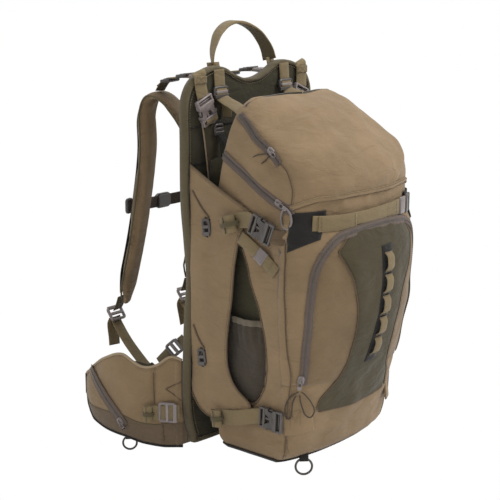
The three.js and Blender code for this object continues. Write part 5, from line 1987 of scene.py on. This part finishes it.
def haul_handle():
    route = [(-70, 112, 612), (-67, 115, 628), (-60, 118, 642), (-46, 122.4, 659), (-24, 126.6, 671.6),
             (0, 128, 676), (24, 126.6, 671.6), (46, 122.4, 659), (60, 118, 642), (67, 115, 628),
             (70, 112, 612)]
    path = smooth_path(route, 80)
    squeeze = np.interp(np.linspace(0, 1, 80), (0, 0.25, 0.4, 0.6, 0.75, 1), (1, 0.95, 0.82, 0.82, 0.95, 1))
    scale = np.stack((squeeze, 1 + (1 - squeeze) * 6), 1)
    turn = np.interp(np.linspace(0, 1, 80), (0, 0.3, 0.55, 1), (0.75, 0.15, 0, -0.35))
    across = np.stack((np.sin(turn), np.cos(turn), np.zeros(80)), 1)
    strap = piece("haul_strap", *sweep(path, across, flat_section(24, 2.2), scale=scale), KHAKI,
                  "haul_handle",
                  slot="webbing", replaces=("haul_handle",))
    inward = unit(np.array((0, 118, 610)) - path)
    # The handle's inner faces take the darker olive webbing: painted shade, the webbing itself is khaki all
    # round.
    paint_faces(strap, OLIVE_WEB, path, inward, 0.6)
    for sign, name in SIDES:
        foot = [(sign * 70, 107.0, 560), (sign * 70, 107.4, 590), (sign * 70.2, 109.5, 606),
                (sign * 69.8, 112, 616)]
        strap, _ = webbing(f"haul_strap_foot_{name}", foot, 24, (0.98, 0.2 * sign, 0), KHAKI, body=None,
                           thick=2.2)
        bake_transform(strap)
        part = slice(4, 30) if sign < 0 else slice(50, 76)
        rows = [stitches(path[part] + across[part] * d - inward[part] * 1.2, -inward[part]) for d in (-8.4,
                                                                                                      8.4)]
        piece(f"haul_stitches_{name}", *joined(rows), PALE_THREAD, "haul_handle")
        tack = np.stack([(sign * 70 + d, 108.8, 592) for d in (-10, 0, 10)]).astype(float)
        piece(f"haul_bartack_{name}", *joined([stitches(tack + (0, 0, h), (0, 1, 0), 1.9, 1.6) for h in
                                               (0, 3, -20, -23)]), PALE_THREAD)


def sternum():
    path = smooth_path([(-99, 280, 366), (-60, 290, 362), (-24, 295.6, 360), (0, 296.6, 360),
                        (24, 295.6, 360),
                        (60, 290, 362), (99, 280, 366)], 60)
    piece("sternum_webbing", *sweep(path, (0, 0, 1), flat_section(20, 1.8)), DARK_WEB, "sternum_strap",
          slot="dark_webbing", replaces=("sternum_strap",))
    half = [(18, -9), (18, 9), (12, 13), (-12, 13), (-18, 9), (-18, -9), (-12, -13), (12, -13)]
    clasp = joined([prism([(x, y) for x, y in half], -1.0, 4.4),
                    prism([(x * 0.8, y * 0.85) for x, y in half], -5, -1.6),
                    chamfer_box((-3, -12, 3.6), (3, 12, 5.6))])
    moulded("sternum_buckle", set_at(clasp, (0, 296.5, 360), (0, 0, 1), (0, 1, 0)), BLACK, "sternum_strap")
    for sign, name in SIDES:
        lock = set_at(ladder_lock(26, 20), (sign * 97, 282, 366), (sign, -0.3, 0), (sign * 0.3, 1, 0))
        moulded(f"sternum_{name}_glider", lock, BLACK, "sternum_strap")



frame_cover()
soft_block("bag_back_foam", (-111, 60, 25), (111, 90.5, 469), DARK_OLIVE, replaces=("bag_back_panel",))
wings()
mesh_pockets()
back_pads()
shoulder_straps()
hip_belts()
haul_handle()
sternum()
stay_sleeves()


# ---- floor, light -------------------------------------------------------------------------------
def studio():
    mesh = bpy.data.meshes.new("floor")
    reach, low = 30.0, STUDIO_FLOOR
    mesh.from_pydata([(-reach, -reach, low), (reach, -reach, low), (reach, reach, low),
                      (-reach, reach, low)], [],
                     [(0, 1, 2, 3)])
    floor = bpy.data.objects.new("floor", mesh)
    material, _, base = shader("floor_paper", 0.9, specular=0.1)
    base.inputs["Base Color"].default_value = (0.93, 0.93, 0.93, 1)
    mesh.materials.append(material)
    bpy.context.scene.collection.objects.link(floor)
    floor.visible_camera = False
    bpy.context.scene.view_settings.view_transform = "Standard"
    world = bpy.data.worlds.new("studio")
    bpy.context.scene.world = world
    world.use_nodes = True
    sky = world.node_tree.nodes["Background"]
    sky.inputs["Color"].default_value = (1, 1, 1, 1)
    sky.inputs["Strength"].default_value = 1.0
    for name, place, size, power in (("key", (1.5, -1.7, 3.0), 1.5, 92), ("left", (-2.6, -0.6, 1.4), 1.8, 6),
                                     ("top", (0.2, 0.2, 3.0), 1.6, 30)):
        data = bpy.data.lights.new(name, "AREA")
        data.size = size
        data.energy = power
        light = bpy.data.objects.new(name, data)
        light.location = place
        light.rotation_euler = (Vector(place) - Vector((0, 0.05, 0.3))).to_track_quat("Z", "Y").to_euler()
        bpy.context.scene.collection.objects.link(light)


studio()
